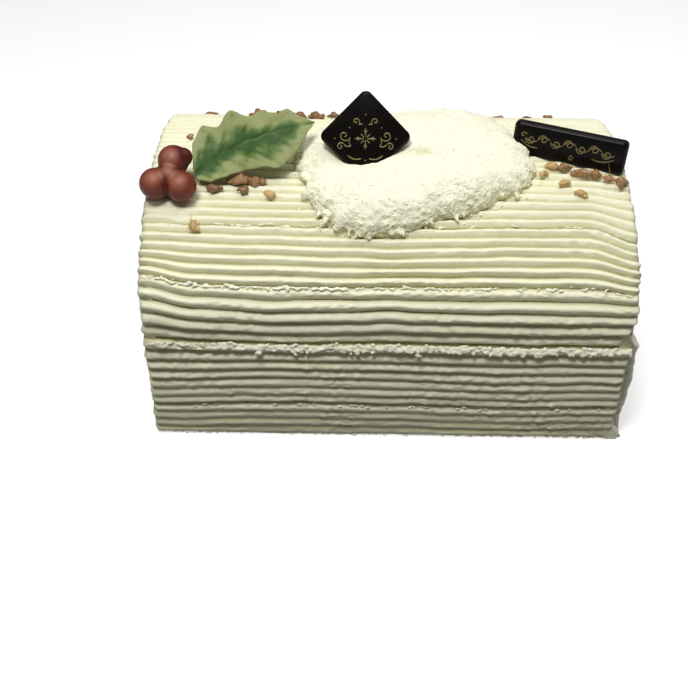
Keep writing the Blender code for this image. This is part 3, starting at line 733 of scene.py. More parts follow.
plaqueForm = dict(
    thickness=2.8 * mm, chamfer=0.8 * mm, edgeRound=0.22 * mm, cornerSteps=10, sharpAngle=math.radians(38),
    diamond=dict(length=20.6 * mm, height=20.6 * mm, corner=2.2 * mm, turn=math.pi / 4,
                 centre=(-7.5 * mm, -15.6 * mm, 90.5 * mm), yaw=0.0, lean=math.radians(25), roll=0.0),
    bar=dict(length=36 * mm, height=11.2 * mm, corner=1.6 * mm, turn=0.0,
             centre=(56.4 * mm, -8.5 * mm, 83.5 * mm), yaw=math.radians(-20), lean=math.radians(6),
             roll=math.radians(-1.8)),
)
chocolateColours = dict(dark=(0.0045, 0.0035, 0.0030), worn=(0.010, 0.0080, 0.0065),
                        gold=(0.34, 0.28, 0.115), dullGold=(0.22, 0.175, 0.075))


def plaqueMatrix(plaque):
    # local x runs along the plaque, y up it, z out of its face
    upright = Matrix.Rotation(math.pi / 2 - plaque["lean"], 4, "X")
    return (Matrix.Translation(plaque["centre"]) @ Matrix.Rotation(plaque["yaw"], 4, "Z")
            @ upright @ Matrix.Rotation(plaque["roll"], 4, "Z"))


def darkChocolate():
    look = chocolateColours
    chocolate = Finish("darkChocolate", IOR=1.45, Specular_IOR_Level=0.13)
    cloud = chocolate.grain(3.2, 3)
    rubbed = chocolate.step(chocolate.grain(0.5, 2, (3, 1, 1)), 0.55, 0.75)
    tint = chocolate.blend(cloud * 0.6, look["dark"], look["worn"])
    relief = chocolate.grain(4.5, 1) * 0.7 + chocolate.grain(0.35, 2) * 0.06
    chocolate.feed(Base_Color=tint, Roughness=0.22 + cloud * 0.12 + rubbed * 0.06,
                   Normal=chocolate.bump(relief, 0.35 * mm, 0.5))
    return chocolate


def goldInk():
    gold = Finish("goldInk", Metallic=0.55)
    flecks = gold.grain(0.28, 2)
    tint = gold.blend(flecks * 0.8, chocolateColours["gold"], chocolateColours["dullGold"])
    gold.feed(Base_Color=tint, Roughness=0.36 + flecks * 0.25, Normal=gold.bump(flecks, 0.05 * mm, 0.6))
    return gold


def roundedRectangle(length, height, corner, turn):
    angles = np.linspace(0, math.pi / 2, plaqueForm["cornerSteps"] + 1)
    points = []
    for number, (sideX, sideY) in enumerate(((1, 1), (-1, 1), (-1, -1), (1, -1))):
        bend = angles + number * math.pi / 2
        x = sideX * (length / 2 - corner) + corner * np.cos(bend)
        y = sideY * (height / 2 - corner) + corner * np.sin(bend)
        points.append(np.stack([x * math.cos(turn) - y * math.sin(turn),
                                x * math.sin(turn) + y * math.cos(turn)], axis=-1))
    return np.concatenate(points)


def makePlaque(name, node, plaque, chocolate):
    setup = plaqueForm
    chamfer, edge, thick = setup["chamfer"], setup["edgeRound"], setup["thickness"]
    # inset from the full outline, and level from the face
    profile = ((edge, -thick), (edge * 0.3, -thick + edge * 0.3), (0, -thick + edge),
               (0, -chamfer - edge * 0.6), (edge * 0.12, -chamfer - edge * 0.1),
               (edge * 0.45, -chamfer + edge * 0.45), (chamfer - edge * 0.7, -edge * 0.75),
               (chamfer - edge * 0.2, -edge * 0.3), (chamfer + edge * 0.5, 0))
    matrix = np.array(plaqueMatrix(plaque))
    loops = []
    for inset, level in profile:
        loop = roundedRectangle(plaque["length"] - 2 * inset, plaque["height"] - 2 * inset,
                                max(plaque["corner"] - inset * 0.6, 0.3 * mm), plaque["turn"])
        loops.append(np.column_stack([loop, np.full(len(loop), level)]))
    count = len(loops[0])
    points = np.concatenate(loops) @ matrix[:3, :3].T + matrix[:3, 3]
    piece = makePiece(name, points, tubeFaces(len(loops), count), chocolate, node)
    piece.data.set_sharp_from_angle(angle=setup["sharpAngle"])


goldLines = dict(width=0.36 * mm, height=0.09 * mm, sunk=0.05 * mm, sides=6, curlPoints=46, curlPower=0.8)


def spiral(centre, start, turns, radius, inner):
    # a curl that winds in from its outer radius
    share = np.linspace(0, 1, goldLines["curlPoints"])
    angle = start + share * turns * math.tau
    reach = radius + (inner - radius) * share ** goldLines["curlPower"]
    return np.stack([centre[0] + reach * np.cos(angle), centre[1] + reach * np.sin(angle)], axis=-1) * mm


def star(centre, points, outer, inner):
    corners = []
    for number in range(2 * points + 1):
        angle = math.pi / 2 + math.pi * number / points
        reach = inner if number % 2 else outer
        corners.append((centre[0] + reach * math.cos(angle), centre[1] + reach * math.sin(angle)))
    return np.array(corners) * mm


def arc(start, end, bulge, points=24):
    # from start to end, bowed sideways by bulge
    share = np.linspace(0, 1, points)[:, None]
    start, end = np.array(start, float), np.array(end, float)
    side = np.array([-(end - start)[1], (end - start)[0]]) / np.hypot(*(end - start))
    return (start + (end - start) * share + side * bulge * 4 * share * (1 - share)) * mm


def dot(centre, radius):
    return arc((centre[0] - radius, centre[1]), (centre[0] + radius, centre[1]), 0.0, 5)


def mirrored(lines):
    return lines + [line * np.array([-1, 1]) for line in lines]


def diamondOrnament():
    # a snow star between curls and dots (mm)
    arms = []
    middle = np.array([0, -0.6])
    for number in range(8):
        angle = math.tau * number / 8
        ahead = np.array([math.cos(angle), math.sin(angle)])
        if number % 2:
            arms.append(arc(middle + ahead * 0.5, middle + ahead * 2.0, 0.0, 6))
            continue
        arms.append(arc(middle + ahead * 0.5, middle + ahead * 3.3, 0.0, 6))
        fork = middle + ahead * 1.7
        for side in (-0.55, 0.55):
            arms.append(arc(fork, fork + (math.cos(angle + side), math.sin(angle + side)), 0.0, 5))
    curls = [spiral((6.4, 0.3), 3.4, 1.25, 1.9, 0.25), arc((4.55, -0.2), (4.4, -2.8), 0.5),
             spiral((7.6, -3.0), 2.6, -1.2, 1.3, 0.2), arc((4.4, -2.8), (6.5, -2.4), -0.4),
             arc((1.2, -6.6), (5.4, -5.6), -0.7), spiral((2.9, 4.6), 4.0, -1.15, 1.25, 0.2),
             arc((0.9, 3.6), (2.1, 3.6), 0.2, 8)]
    dots = [dot((0.0, -7.2), 0.25), dot((9.4, -0.6), 0.25), dot((0.0, 6.6), 0.25), dot((4.9, 2.7), 0.2)]
    return arms + mirrored(curls) + mirrored(dots)


def barOrnament():
    # a running scroll with a small star under it (mm)
    lines = []
    for number in range(7):
        middle = (-12.2 + 4.05 * number, 1.1 if number % 2 else 0.5)
        up = 1 if number % 2 else -1
        lines.append(spiral(middle, 3.3 * up, -1.3 * up, 1.75, 0.25))
        lines.append(arc((middle[0] - 1.7, middle[1] - 0.3 * up), (middle[0] + 2.3, middle[1] + 0.1),
                         0.9 * up))
    lines.append(spiral((-14.6, 1.6), 0.2, 0.8, 1.1, 0.3))
    lines.append(arc((-15.2, 0.0), (-9.6, -1.9), -0.8))
    lines.append(arc((7.6, -1.9), (14.6, -0.6), -0.9))
    lines.append(star((1.2, -2.9), 5, 0.95, 0.42))
    return lines


def makeGoldLines(name, node, plaque, lines, gold):
    # every line is a low rounded bead standing on the plaque's face
    sides = goldLines["sides"]
    matrix = np.array(plaqueMatrix(plaque))
    points, faces = [], []
    for line in lines:
        ahead = np.gradient(line, axis=0)
        ahead /= np.maximum(np.hypot(*ahead.T), 1e-9)[:, None]
        aside = np.stack([-ahead[:, 1], ahead[:, 0]], axis=-1)
        count = len(line)
        share = np.linspace(0, 1, count)
        taper = 0.45 + 0.55 * np.sqrt(np.clip(np.minimum(share, 1 - share) * 8, 0, 1))
        taper *= 1 + 0.18 * np.sin(share * 9 + len(points))
        rings = []
        for side in range(sides):
            angle = math.pi * side / (sides - 1)
            offset = aside * (0.5 * goldLines["width"] * taper * math.cos(angle))[:, None]
            level = goldLines["height"] * math.sin(angle) - goldLines["sunk"]
            rings.append(np.column_stack([line + offset, np.full(count, level)]))
        faces += tubeFaces(count, sides, sum(len(bead) for bead in points))
        points.append(np.stack(rings, axis=1).reshape(-1, 3))
    placed = np.concatenate(points) @ matrix[:3, :3].T + matrix[:3, 3]
    makePiece(name, placed, faces, gold, node)


chocolate = darkChocolate()
gold = goldInk()
diamond, bar = plaqueForm["diamond"], plaqueForm["bar"]
makePlaque("diamondPlaque", "diamond_plaque", diamond, chocolate)
makePlaque("barPlaque", "bar_plaque", bar, chocolate)
makeGoldLines("diamondGoldLines", "diamond_plaque", diamond, diamondOrnament(), gold)
makeGoldLines("barGoldLines", "bar_plaque", bar, barOrnament(), gold)
print("plaques moulded")


# Coconut: a heap on the log, its core rough, with shreds and crumbs lying on it

moundForm = dict(
    x=7.6 * mm, around=-10.6 * mm,   # its middle, from the crown
    halfLength=36.2 * mm, halfDepth=26.2 * mm, turn=math.radians(17), power=3.0,
    height=9.0 * mm, backGain=0.03, lift=0.45 * mm,
    # the hollow along its front
    hollowX=-6.0 * mm, hollowAround=-19.5 * mm, hollowLength=19 * mm, hollowDepth=5.6 * mm, hollow=2.9 * mm,
    # a cleft beside the diamond
    cleftX=10.5 * mm, cleftAround=-15.5 * mm, cleftLength=4.5 * mm, cleftWidth=1.3 * mm, cleft=2.6 * mm,
    tuft=0.8 * mm, fringe=0.8 * mm, under=0.9 * mm,   # the last is how far it reaches into the cream
    sides=260, rings=44, voxel=0.48 * mm,
    clumps=210, clumpSize=(1.3, 2.8), clumpReach=(0.90, 0.985), rough=0.36 * mm, fine=0.2 * mm,
    calmTop=0.34,             # how much of the roughness is left where the heap lies level
    teeth=44, toothSize=(2.2, 4.4), toothReach=0.985, toothSpan=(math.radians(195), math.radians(370)),
)
coconutBits = dict(
    shreds=380, shredLength=(0.9, 2.2), shredWidth=(0.25, 0.45), shredThick=0.2 * mm,
    crumbs=7200, crumbSize=(0.45, 1.0), crumbSink=0.22 * mm, strays=120,
    leastHeight=0.35 * mm,    # over the cream, below which none lies
)
# shade is painted shade: the colour the heap is painted towards on its steep sides and in its dips
coconutColours = dict(white=(0.985, 0.972, 0.77), shade=(0.84, 0.815, 0.54), roughness=0.72)


def gratedCoconut():
    look = coconutColours
    coconut = Finish("gratedCoconut", Specular_IOR_Level=0.25)
    tone = coconut.painted("tone")
    speckle = coconut.grain(0.5, 3)
    # the tone number, partly random and partly painted shade, darkens the coconut towards the shade colour
    tint = coconut.blend(coconut.step(tone * 0.6 + speckle * 0.5, 0.3, 1.0), look["white"], look["shade"])
    coconut.feed(Base_Color=tint, Roughness=look["roughness"] + speckle * 0.18,
                 Normal=coconut.bump(coconut.grain(0.6, 2), 0.05 * mm, 0.5))
    return coconut


def signedPower(value, power):
    return np.sign(value) * np.abs(value) ** power


def moundSpot(angle, share):
    form = moundForm
    far = signedPower(np.cos(angle), 2 / form["power"]) * form["halfLength"] * share
    deep = signedPower(np.sin(angle), 2 / form["power"]) * form["halfDepth"] * share
    x = form["x"] + far * math.cos(form["turn"]) - deep * math.sin(form["turn"])
    around = crown + form["around"] + far * math.sin(form["turn"]) + deep * math.cos(form["turn"])
    return x, around


def moundHeight(x, around, share):
    form = moundForm
    back = around - crown - form["around"]
    dome = (form["height"] + form["backGain"] * back) * np.sqrt(np.clip(1 - share ** 3, 0, 1))
    dentX = (x - form["hollowX"]) / form["hollowLength"]
    dentAround = (around - crown - form["hollowAround"]) / form["hollowDepth"]
    dent = form["hollow"] * np.exp(-dentX ** 4 - dentAround ** 2)
    cleftX = (x - form["cleftX"]) / form["cleftLength"]
    cleftAround = (around - crown - form["cleftAround"]) / form["cleftWidth"]
    dent = dent + form["cleft"] * np.exp(-cleftX ** 2 - cleftAround ** 2)
    tufts = humps(81, x, around, 4.2, 4.2) * form["tuft"]
    return np.maximum(dome - dent + tufts * (1 - share ** 6), 0.9 * mm * (1 - share ** 8) + 0.3 * mm)


def tooth(place, around, lean, size):
    # a tapering tuft that lies on the cream and points towards the foot
    y, z = outward(around)[1:]
    ahead = Vector((lean, -z, y)).normalized() * (1 if around < crown else -1)
    turn = np.array(ahead.to_track_quat("Z", "X").to_matrix())
    taper = (1.0 - 0.75 * (ballPoints[:, 2:] + 0.5)) * np.array([0.62, 0.5, 0]) + np.array([0, 0, 1.15])
    return (ballPoints * taper * size) @ turn.T + np.array(place) + np.array(ahead) * size * 0.3


def makeMoundCore(coconut):
    form = moundForm
    sides, rings = form["sides"], form["rings"]
    shares = np.sin(np.linspace(math.pi / 2, 0.03, rings))
    share, angle = np.meshgrid(shares, np.arange(sides) * math.tau / sides, indexing="ij")
    ragged = form["fringe"] * softNoise(82, 9 + 9 * np.cos(angle), 9 + 9 * np.sin(angle))
    x, around = moundSpot(angle, share * (1 + 2 * share ** 4 * ragged / form["halfDepth"]))
    top = onCake(x, around, form["lift"] + moundHeight(x, around, share))
    below = onCake(x, around, -form["under"])
    points = np.concatenate([top.reshape(-1, 3), below.reshape(-1, 3)])
    half = rings * sides
    faces = [face[::-1] for face in gridFaces(rings, sides)] + gridFaces(rings, sides, half)
    for side in range(sides):
        following = (side + 1) % sides
        faces.append([half + side, half + following, following, side])
    faces += [list(range(half - sides, half)), list(range(2 * half - sides, 2 * half))[::-1]]
    bodies = [(points, faces)]
    dice = random.Random(29)
    for _ in range(form["clumps"]):
        turn = dice.uniform(0, math.tau)
        out = dice.uniform(*form["clumpReach"])
        clumpX, clumpAround = moundSpot(turn, out)
        size = dice.uniform(*form["clumpSize"]) * mm
        spot = onCake(clumpX, clumpAround, form["lift"] + dice.uniform(0.2, 1.6) * mm)
        clump = lump(spot, dice.uniform(0, 3), dice.uniform(-0.5, 0.5), (size, size * 0.8, size * 0.8))
        bodies.append((clump, ballFaces))
    for _ in range(form["teeth"]):
        # hanging tufts along the front and right rim, pointing down the cake
        turn = dice.uniform(*form["toothSpan"])
        toothX, toothAround = moundSpot(turn, form["toothReach"])
        size = dice.uniform(*form["toothSize"]) * mm
        spot = onCake(toothX, toothAround, form["lift"] + dice.uniform(0.2, 0.9) * mm)
        bodies.append((tooth(spot, toothAround, dice.uniform(-0.5, 0.5), size), ballFaces))
    mesh = melted(bodies, form["voxel"], 2)
    points, normals = pointsOf(mesh), pointsOf(mesh, "normal")
    bulge = form["rough"] * grit(83, points, 1.45) + form["fine"] * grit(84, points, 0.7)
    bulge *= 1 - (1 - form["calmTop"]) * ease(normals[:, 2] * 2.5 - 1.4)
    points += normals * bulge[:, None]
    movePoints(mesh, points)
    tone = np.clip(0.2 + 0.6 * (1 - normals[:, 2]) - bulge / (1.2 * mm), 0, 1)   # painted shade: darker where it is steep and in its dips
    return dressMesh("coconutCore", mesh, coconut, "coconut_mound", {"tone": tone})


def spotsOn(piece, count, seed):
    # places on the heap's upper side, with their outward directions, spread by area
    mesh = piece.data
    mesh.calc_loop_triangles()
    corners = np.zeros(len(mesh.loop_triangles) * 3, np.int32)
    mesh.loop_triangles.foreach_get("vertices", corners)
    points = pointsOf(mesh)
    trio = points[corners.reshape(-1, 3)]
    cross = np.cross(trio[:, 1] - trio[:, 0], trio[:, 2] - trio[:, 0])
    area = np.linalg.norm(cross, axis=1)
    facing = cross / np.maximum(area, 1e-15)[:, None]
    middle = trio.mean(axis=1)
    around, height = roundOf(middle)
    up = outward(around)
    exposed = (height > coconutBits["leastHeight"]) & ((facing * up).sum(axis=1) > -0.25)
    dice = np.random.default_rng(seed)
    likely = area * exposed * (1.15 - facing[:, 2])   # the steep sides are the roughest
    chosen = dice.choice(len(area), count, p=likely / likely.sum())
    spread = dice.dirichlet((1, 1, 1), count)
    spots = (trio[chosen] * spread[..., None]).sum(axis=1)
    return spots, facing[chosen], dice


def clearOfPlaques(spots, reach):
    # keeps loose pieces from lying in or before a plaque's face
    clear = np.ones(len(spots), bool)
    for plaque in (plaqueForm["diamond"], plaqueForm["bar"]):
        back = np.array(plaqueMatrix(plaque).inverted())
        local = spots @ back[:3, :3].T + back[:3, 3]
        turn = plaque["turn"]
        x = local[:, 0] * math.cos(turn) + local[:, 1] * math.sin(turn)
        y = local[:, 1] * math.cos(turn) - local[:, 0] * math.sin(turn)
        inside = np.abs(x) < plaque["length"] / 2 + reach * 0.4
        inside &= np.abs(y) < plaque["height"] / 2 + reach * 0.4
        inside &= (local[:, 2] < reach) & (local[:, 2] > -plaqueForm["thickness"] - reach)
        clear &= ~inside
    return clear


def anyAcross(directions, dice):
    # a random direction along the surface at each spot
    wild = dice.normal(size=directions.shape)
    wild -= (wild * directions).sum(axis=1, keepdims=True) * directions
    return wild / np.linalg.norm(wild, axis=1, keepdims=True)


def makeShreds(core, coconut):
    # thin curved three-sided strips
    setup = coconutBits
    spots, facing, dice = spotsOn(core, setup["shreds"], 91)
    keep = clearOfPlaques(spots, 0.9 * mm)
    spots, facing = spots[keep], facing[keep]
    count = len(spots)
    tipped = facing + 0.3 * dice.normal(size=facing.shape)
    tipped /= np.linalg.norm(tipped, axis=1, keepdims=True)
    ahead = anyAcross(tipped, dice)
    aside = np.cross(tipped, ahead)
    length = dice.uniform(*setup["shredLength"], count) * mm
    width = dice.uniform(*setup["shredWidth"], count) * mm
    curl = dice.uniform(-0.35, 0.55, count)
    twist = dice.uniform(-0.8, 0.8, count)
    rings = []
    for share in (-0.5, -0.18, 0.18, 0.5):
        taper = 0.5 if abs(share) == 0.5 else 1.0
        middle = spots + ahead * (length * share)[:, None]
        middle = middle + tipped * (0.02 * mm + length * curl * (share ** 2 - 0.1))[:, None]
        bend = twist * share
        across = aside * np.cos(bend)[:, None] + tipped * np.sin(bend)[:, None]
        rise = tipped * np.cos(bend)[:, None] - aside * np.sin(bend)[:, None]
        for side, high in ((-0.5, 0.0), (0.5, 0.0), (0.0, 1.0)):
            rings.append(middle + across * (side * width * taper)[:, None]
                         + rise * (high * setup["shredThick"] * taper))
    corners = len(rings)
    points = np.stack(rings, axis=1)
    pattern = [[2, 1, 0], [9, 10, 11]]
    for ring, side in itertools.product((0, 3, 6), range(3)):
        following = (side + 1) % 3
        pattern.append([ring + side, ring + following, ring + 3 + following, ring + 3 + side])
    faces = [[corner + corners * number for corner in face] for number in range(count) for face in pattern]
    tone = np.repeat(dice.uniform(0, 0.7, count), corners)
    piece = makePiece("coconutShreds", points, faces, coconut, "coconut_mound", {"tone": tone})
    piece.data.shade_flat()


def makeCrumbs(core, coconut):
    # small rounded grains, some fallen on the cream round the heap
    setup = coconutBits
    spots, facing, dice = spotsOn(core, setup["crumbs"], 92)
    angle = dice.uniform(0, math.tau, setup["strays"])
    strayX, strayAround = moundSpot(angle, 1.02 + 0.10 * dice.random(setup["strays"]) ** 2)
    spots = np.concatenate([spots, onCake(strayX, strayAround, -0.1 * mm)])
    facing = np.concatenate([facing, outward(strayAround)])
    keep = clearOfPlaques(spots, 0.5 * mm)
    spots, facing = spots[keep], facing[keep]
    count = len(spots)
    ahead = anyAcross(facing, dice)
    axes = np.stack([ahead, np.cross(facing, ahead), facing], axis=1)
    grainPoints, grainFaces = ball(1)
    corners = len(grainPoints)
    size = dice.uniform(*setup["crumbSize"], (count, 1, 3)) * mm
    shape = grainPoints * size * dice.uniform(0.8, 1.2, (count, corners, 1))
    points = (spots - facing * setup["crumbSink"])[:, None] + shape @ axes
    faces = (grainFaces + corners * np.arange(count)[:, None, None]).reshape(-1, 3).tolist()
    # the tone is partly random and partly painted shade, darker where a crumb faces away from straight up
    tone = np.repeat(dice.uniform(0, 0.4, count) + 0.6 * (1 - facing[:, 2]), corners)
    makePiece("coconutCrumbs", points, faces, coconut, "coconut_mound", {"tone": tone})


coconut = gratedCoconut()
mound = makeMoundCore(coconut)
makeShreds(mound, coconut)
makeCrumbs(mound, coconut)
print("coconut heaped")


# Holly leaf of sugar paste, brushed with green

leafForm = dict(
    base=(-59.6 * mm, -21.3 * mm, 79.6 * mm), length=40.4 * mm,
    tilt=math.radians(40), turn=math.radians(26),   # how steeply it stands, and turned in its own plane
    bow=3.1 * mm, thickness=1.2 * mm, cup=1.3 * mm, wave=0.8 * mm,
    # distance along the blade and half width there (mm): blunt spines on both sides
    upper=((0, 2.0), (3.5, 8.6), (8.2, 11.4), (12.5, 8.3), (18, 11.2), (22.5, 7.2),
           (27, 8.3), (31, 5.6), (34.5, 6.4), (37.5, 2.6), (40.4, 0.25)),
    lower=((0, 2.4), (4, 6.2), (9, 7.4), (14, 8.3), (19, 10.0), (23.8, 12.0),
           (28, 10.2), (31.5, 8.3), (35, 4.8), (38, 2.0), (40.4, 0.25)),
    # root on the midrib, then the vein's end: along and aside (mm)
    upperVeins=((2.5, 8.6, 9.6), (9.5, 18.2, 9.2), (17.5, 27.2, 6.6), (24.0, 34.5, 4.8)),
    lowerVeins=((2.0, 9.0, 6.0), (7.5, 17.0, 7.6), (13.0, 24.0, 9.8), (21.0, 31.5, 6.0), (27.0, 35.5, 3.4)),
    veinWidth=0.55 * mm, groove=0.26 * mm, ribWidth=0.5 * mm, ribGroove=0.28 * mm,
    puff=0.35 * mm, nibble=0.16 * mm, steps=170, rows=30,
)
leafColours = dict(edge=(0.31, 0.345, 0.145), mid=(0.120, 0.195, 0.048), dark=(0.042, 0.100, 0.020),
                   vein=(0.17, 0.245, 0.09), warm=(0.30, 0.28, 0.11))


def sugarLeaf():
    look = leafColours
    leaf = Finish("sugarLeaf", Subsurface_Weight=0.12, Subsurface_Radius=(0.6, 1.0, 0.3),
                  Subsurface_Scale=0.8 * mm, Specular_IOR_Level=0.15)
    brushed = leaf.painted("brushed")
    veins = leaf.painted("veins")
    cloud = leaf.grain(2.6, 3)
    speck = leaf.grain(0.7, 3)
    patchy = brushed + cloud * 0.55 + speck * 0.35
    tint = leaf.blend(leaf.step(cloud, 0.45, 0.7) * 0.45, look["edge"], look["warm"])
    tint = leaf.blend(leaf.step(patchy, 0.68, 1.12), tint, look["mid"])
    tint = leaf.blend(leaf.step(patchy, 1.0, 1.42), tint, look["dark"])
    tint = leaf.blend(leaf.step(veins + speck * 0.3, 0.3, 1.1) * 0.5, tint, look["vein"])
    leaf.feed(Base_Color=tint, Roughness=0.42 + cloud * 0.16,
              Normal=leaf.bump(leaf.grain(0.5, 3) * 0.4 + cloud * 0.6, 0.12 * mm, 0.7))
    return leaf


def bladeWidth(table, along):
    # half the blade's width, its corners softened
    fine = np.linspace(0, leafForm["length"], 400)
    places, halves = np.array(table).T * mm
    spot = np.interp(fine, places, np.arange(len(places)))
    whole = np.minimum(spot.astype(int), len(places) - 2)
    part = spot - whole
    width = halves[whole] + (halves[whole + 1] - halves[whole]) * (0.6 * ease(part) + 0.4 * part)
    window = np.hanning(13)
    padded = np.pad(width, 6, mode="edge")
    width = np.convolve(padded, window / window.sum(), mode="valid")
    width += leafForm["nibble"] * softNoise(94, fine / (1.4 * mm), fine * 0) * np.minimum(width / (3 * mm), 1)
    return np.interp(along, fine, width)


def veinMarks(along, aside, veins):
    # how near each point is to one of the veins
    mark = np.zeros_like(along)
    for root, far, wide in veins:
        start, end = np.array([root, 0.0]) * mm, np.array([far, wide]) * mm
        run = end - start
        share = np.clip(((along - start[0]) * run[0] + (aside - start[1]) * run[1]) / (run @ run), 0, 1)
        bent = 0.9 * mm * share * (1 - share) * 4   # veins bow towards the tip
        away = np.hypot(along - start[0] - run[0] * share - bent, aside - start[1] - run[1] * share)
        mark = np.maximum(mark, np.exp(-(away / leafForm["veinWidth"]) ** 2) * (1 - 0.6 * share))
    return mark


def makeLeaf(finish):
    form = leafForm
    alongX = Vector((1, 0, 0))
    across = Vector((0, math.cos(form["tilt"]), math.sin(form["tilt"])))
    up = np.array(alongX.cross(across))
    ribward = np.array(alongX * math.cos(form["turn"]) + across * math.sin(form["turn"]))
    sideward = np.cross(up, ribward)
    steps, rows = form["steps"], form["rows"]
    out = np.sin(np.linspace(-math.pi / 2, math.pi / 2, 2 * rows + 1))
    share, out = np.meshgrid(np.linspace(0, 1, steps + 1), out, indexing="ij")
    along = form["length"] * share
    width = np.where(out > 0, bladeWidth(form["upper"], along), bladeWidth(form["lower"], along))
    aside = out * width
    bow = form["bow"] * np.sin(math.pi * share ** 0.8)
    cup = form["cup"] * (np.abs(out) ** 1.5 - 0.4) * np.sin(math.pi * np.minimum(share * 1.15, 1)) ** 0.5
    phase = np.where(out > 0, 1.2, 0.0)
    wave = form["wave"] * out * out * np.sin(9.5 * share * math.pi / 2 + phase)
    level = cup + wave * np.sin(math.pi * share) + form["thickness"] / 2
    spread = np.abs(aside)
    side = np.where(out > 0, veinMarks(along, spread, form["upperVeins"]),
                    veinMarks(along, spread, form["lowerVeins"]))
    rib = np.exp(-(aside / form["ribWidth"]) ** 2) * (1 - share ** 3)
    puff = form["puff"] * humps(95, along, aside, 4, 3)
    relief = -form["ribGroove"] * rib - form["groove"] * side + puff * (1 - np.abs(out) ** 3)
    thick = form["thickness"] / 2 * np.sqrt(np.clip(1 - np.abs(out) ** 7, 0, 1))
    thick = thick * np.clip(8 * (1 - share), 0.3, 1)   # thinner towards the tip
    base = np.array(form["base"])
    flat = base + ribward * along[..., None] + sideward * (bow + aside)[..., None]
    top = flat + up * (level + thick + relief)[..., None]
    bottom = flat + up * (level - thick)[..., None]
    ring = np.concatenate([top, bottom[:, -2:0:-1]], axis=1)   # the two skins share the blade's rim
    # the green is brushed on from the middle and leaves the rim, the tip and the base paler
    inner = 1.08 - np.abs(out) ** 1.2 * 1.2
    inner = inner - 0.6 * ease((share - 0.72) / 0.28) - 0.2 * ease((0.1 - share) / 0.1)
    streaks = humps(96, along - spread * 0.8, along + spread, 1.5, 7)
    brushed = np.clip(inner + 0.2 * streaks + 0.34 * humps(97, along, aside, 4.5, 3.6), 0, 1.2)
    marks = np.clip(np.maximum(side, 0.8 * rib) * ease(share * 2.2 - 0.3), 0, 1)

    def both(values):
        return np.concatenate([values, values[:, -2:0:-1] * 0.3], axis=1)

    makePiece("hollyLeaf", ring, tubeFaces(steps + 1, ring.shape[1]), finish, "holly_leaf",
              {"brushed": both(brushed), "veins": both(marks)})


# Berries: one moulded trio with a bud, their creases painted a deeper red as shade and their lit side painted
# paler as a highlight

berryForm = dict(
    radius=4.8 * mm, web=4.6 * mm, budRadius=2.9 * mm,
    # middles of the three balls and of the bud (mm)
    centres=((-63.2, -28.5, 79.9), (-71.2, -27.6, 80.2), (-65.9, -22.0, 85.0)), bud=(-62.9, -21.3, 85.9),
    voxel=0.26 * mm, smoothing=26, creaseWidth=1.7 * mm,
    highlightSide=(-0.1, -0.68, 0.72),   # painted highlight: the side towards which the berries are painted paler, as if lit from there
)
# the deep red is painted shade for the creases, the pale colour a painted highlight on the side facing the
# light
berryColours = dict(red=(0.18, 0.030, 0.018), deep=(0.08, 0.006, 0.004), paintedHighlight=(0.40, 0.150, 0.085))


def sugarBerry():
    look = berryColours
    berry = Finish("sugarBerry", Subsurface_Weight=0.15, Subsurface_Radius=(1.0, 0.25, 0.15),
                   Subsurface_Scale=1.0 * mm, Specular_IOR_Level=0.35)
    crease = berry.painted("crease")
    paintedHighlight = berry.painted("paintedHighlight")
    cloud = berry.grain(1.8, 3)
    # painted highlight: paler on the side facing the light
    tint = berry.blend(berry.step(paintedHighlight + cloud * 0.25, 0.35, 1.15) * 0.75, look["red"], look["paintedHighlight"])
    # painted shade: the creases are painted a deeper red
    tint = berry.blend(berry.step(crease + cloud * 0.15, 0.2, 0.95), tint, look["deep"])
    berry.feed(Base_Color=tint, Roughness=0.40 + cloud * 0.14,
               Normal=berry.bump(berry.grain(0.45, 2) * 0.3 + cloud * 0.5, 0.07 * mm, 0.6))
    return berry


def makeBerries(finish):
    form = berryForm
    centres = [Vector(centre) * mm for centre in form["centres"]]
    middle = sum(centres, Vector()) / 3
    balls = [(centre, form["radius"]) for centre in centres]
    balls += [(middle, form["web"]), (Vector(form["bud"]) * mm, form["budRadius"])]
    roundPoints, roundFaces = ball(5)
    bodies = [(roundPoints * 2 * radius + np.array(centre), roundFaces) for centre, radius in balls]
    mesh = melted(bodies, form["voxel"], form["smoothing"])
    points = pointsOf(mesh)
    away = np.sort([np.linalg.norm(points - np.array(centre), axis=1) - radius
                    for centre, radius in balls if radius != form["web"]], axis=0)
    # painted shade: darker near where a second ball meets this one, in the creases
    crease = np.exp(-np.clip(away[1] / form["creaseWidth"], 0, None) ** 1.3)
    # painted highlight: paler the more a point faces that side
    paintedHighlight = np.clip(pointsOf(mesh, "normal") @ np.array(form["highlightSide"]), 0, 1) ** 3
    dressMesh("hollyBerries", mesh, finish, "berries", {"crease": crease, "paintedHighlight": paintedHighlight})


makeLeaf(sugarLeaf())
makeBerries(sugarBerry())
print("holly made")


# Praline: chips of caramelised nut, each a few grains stuck together

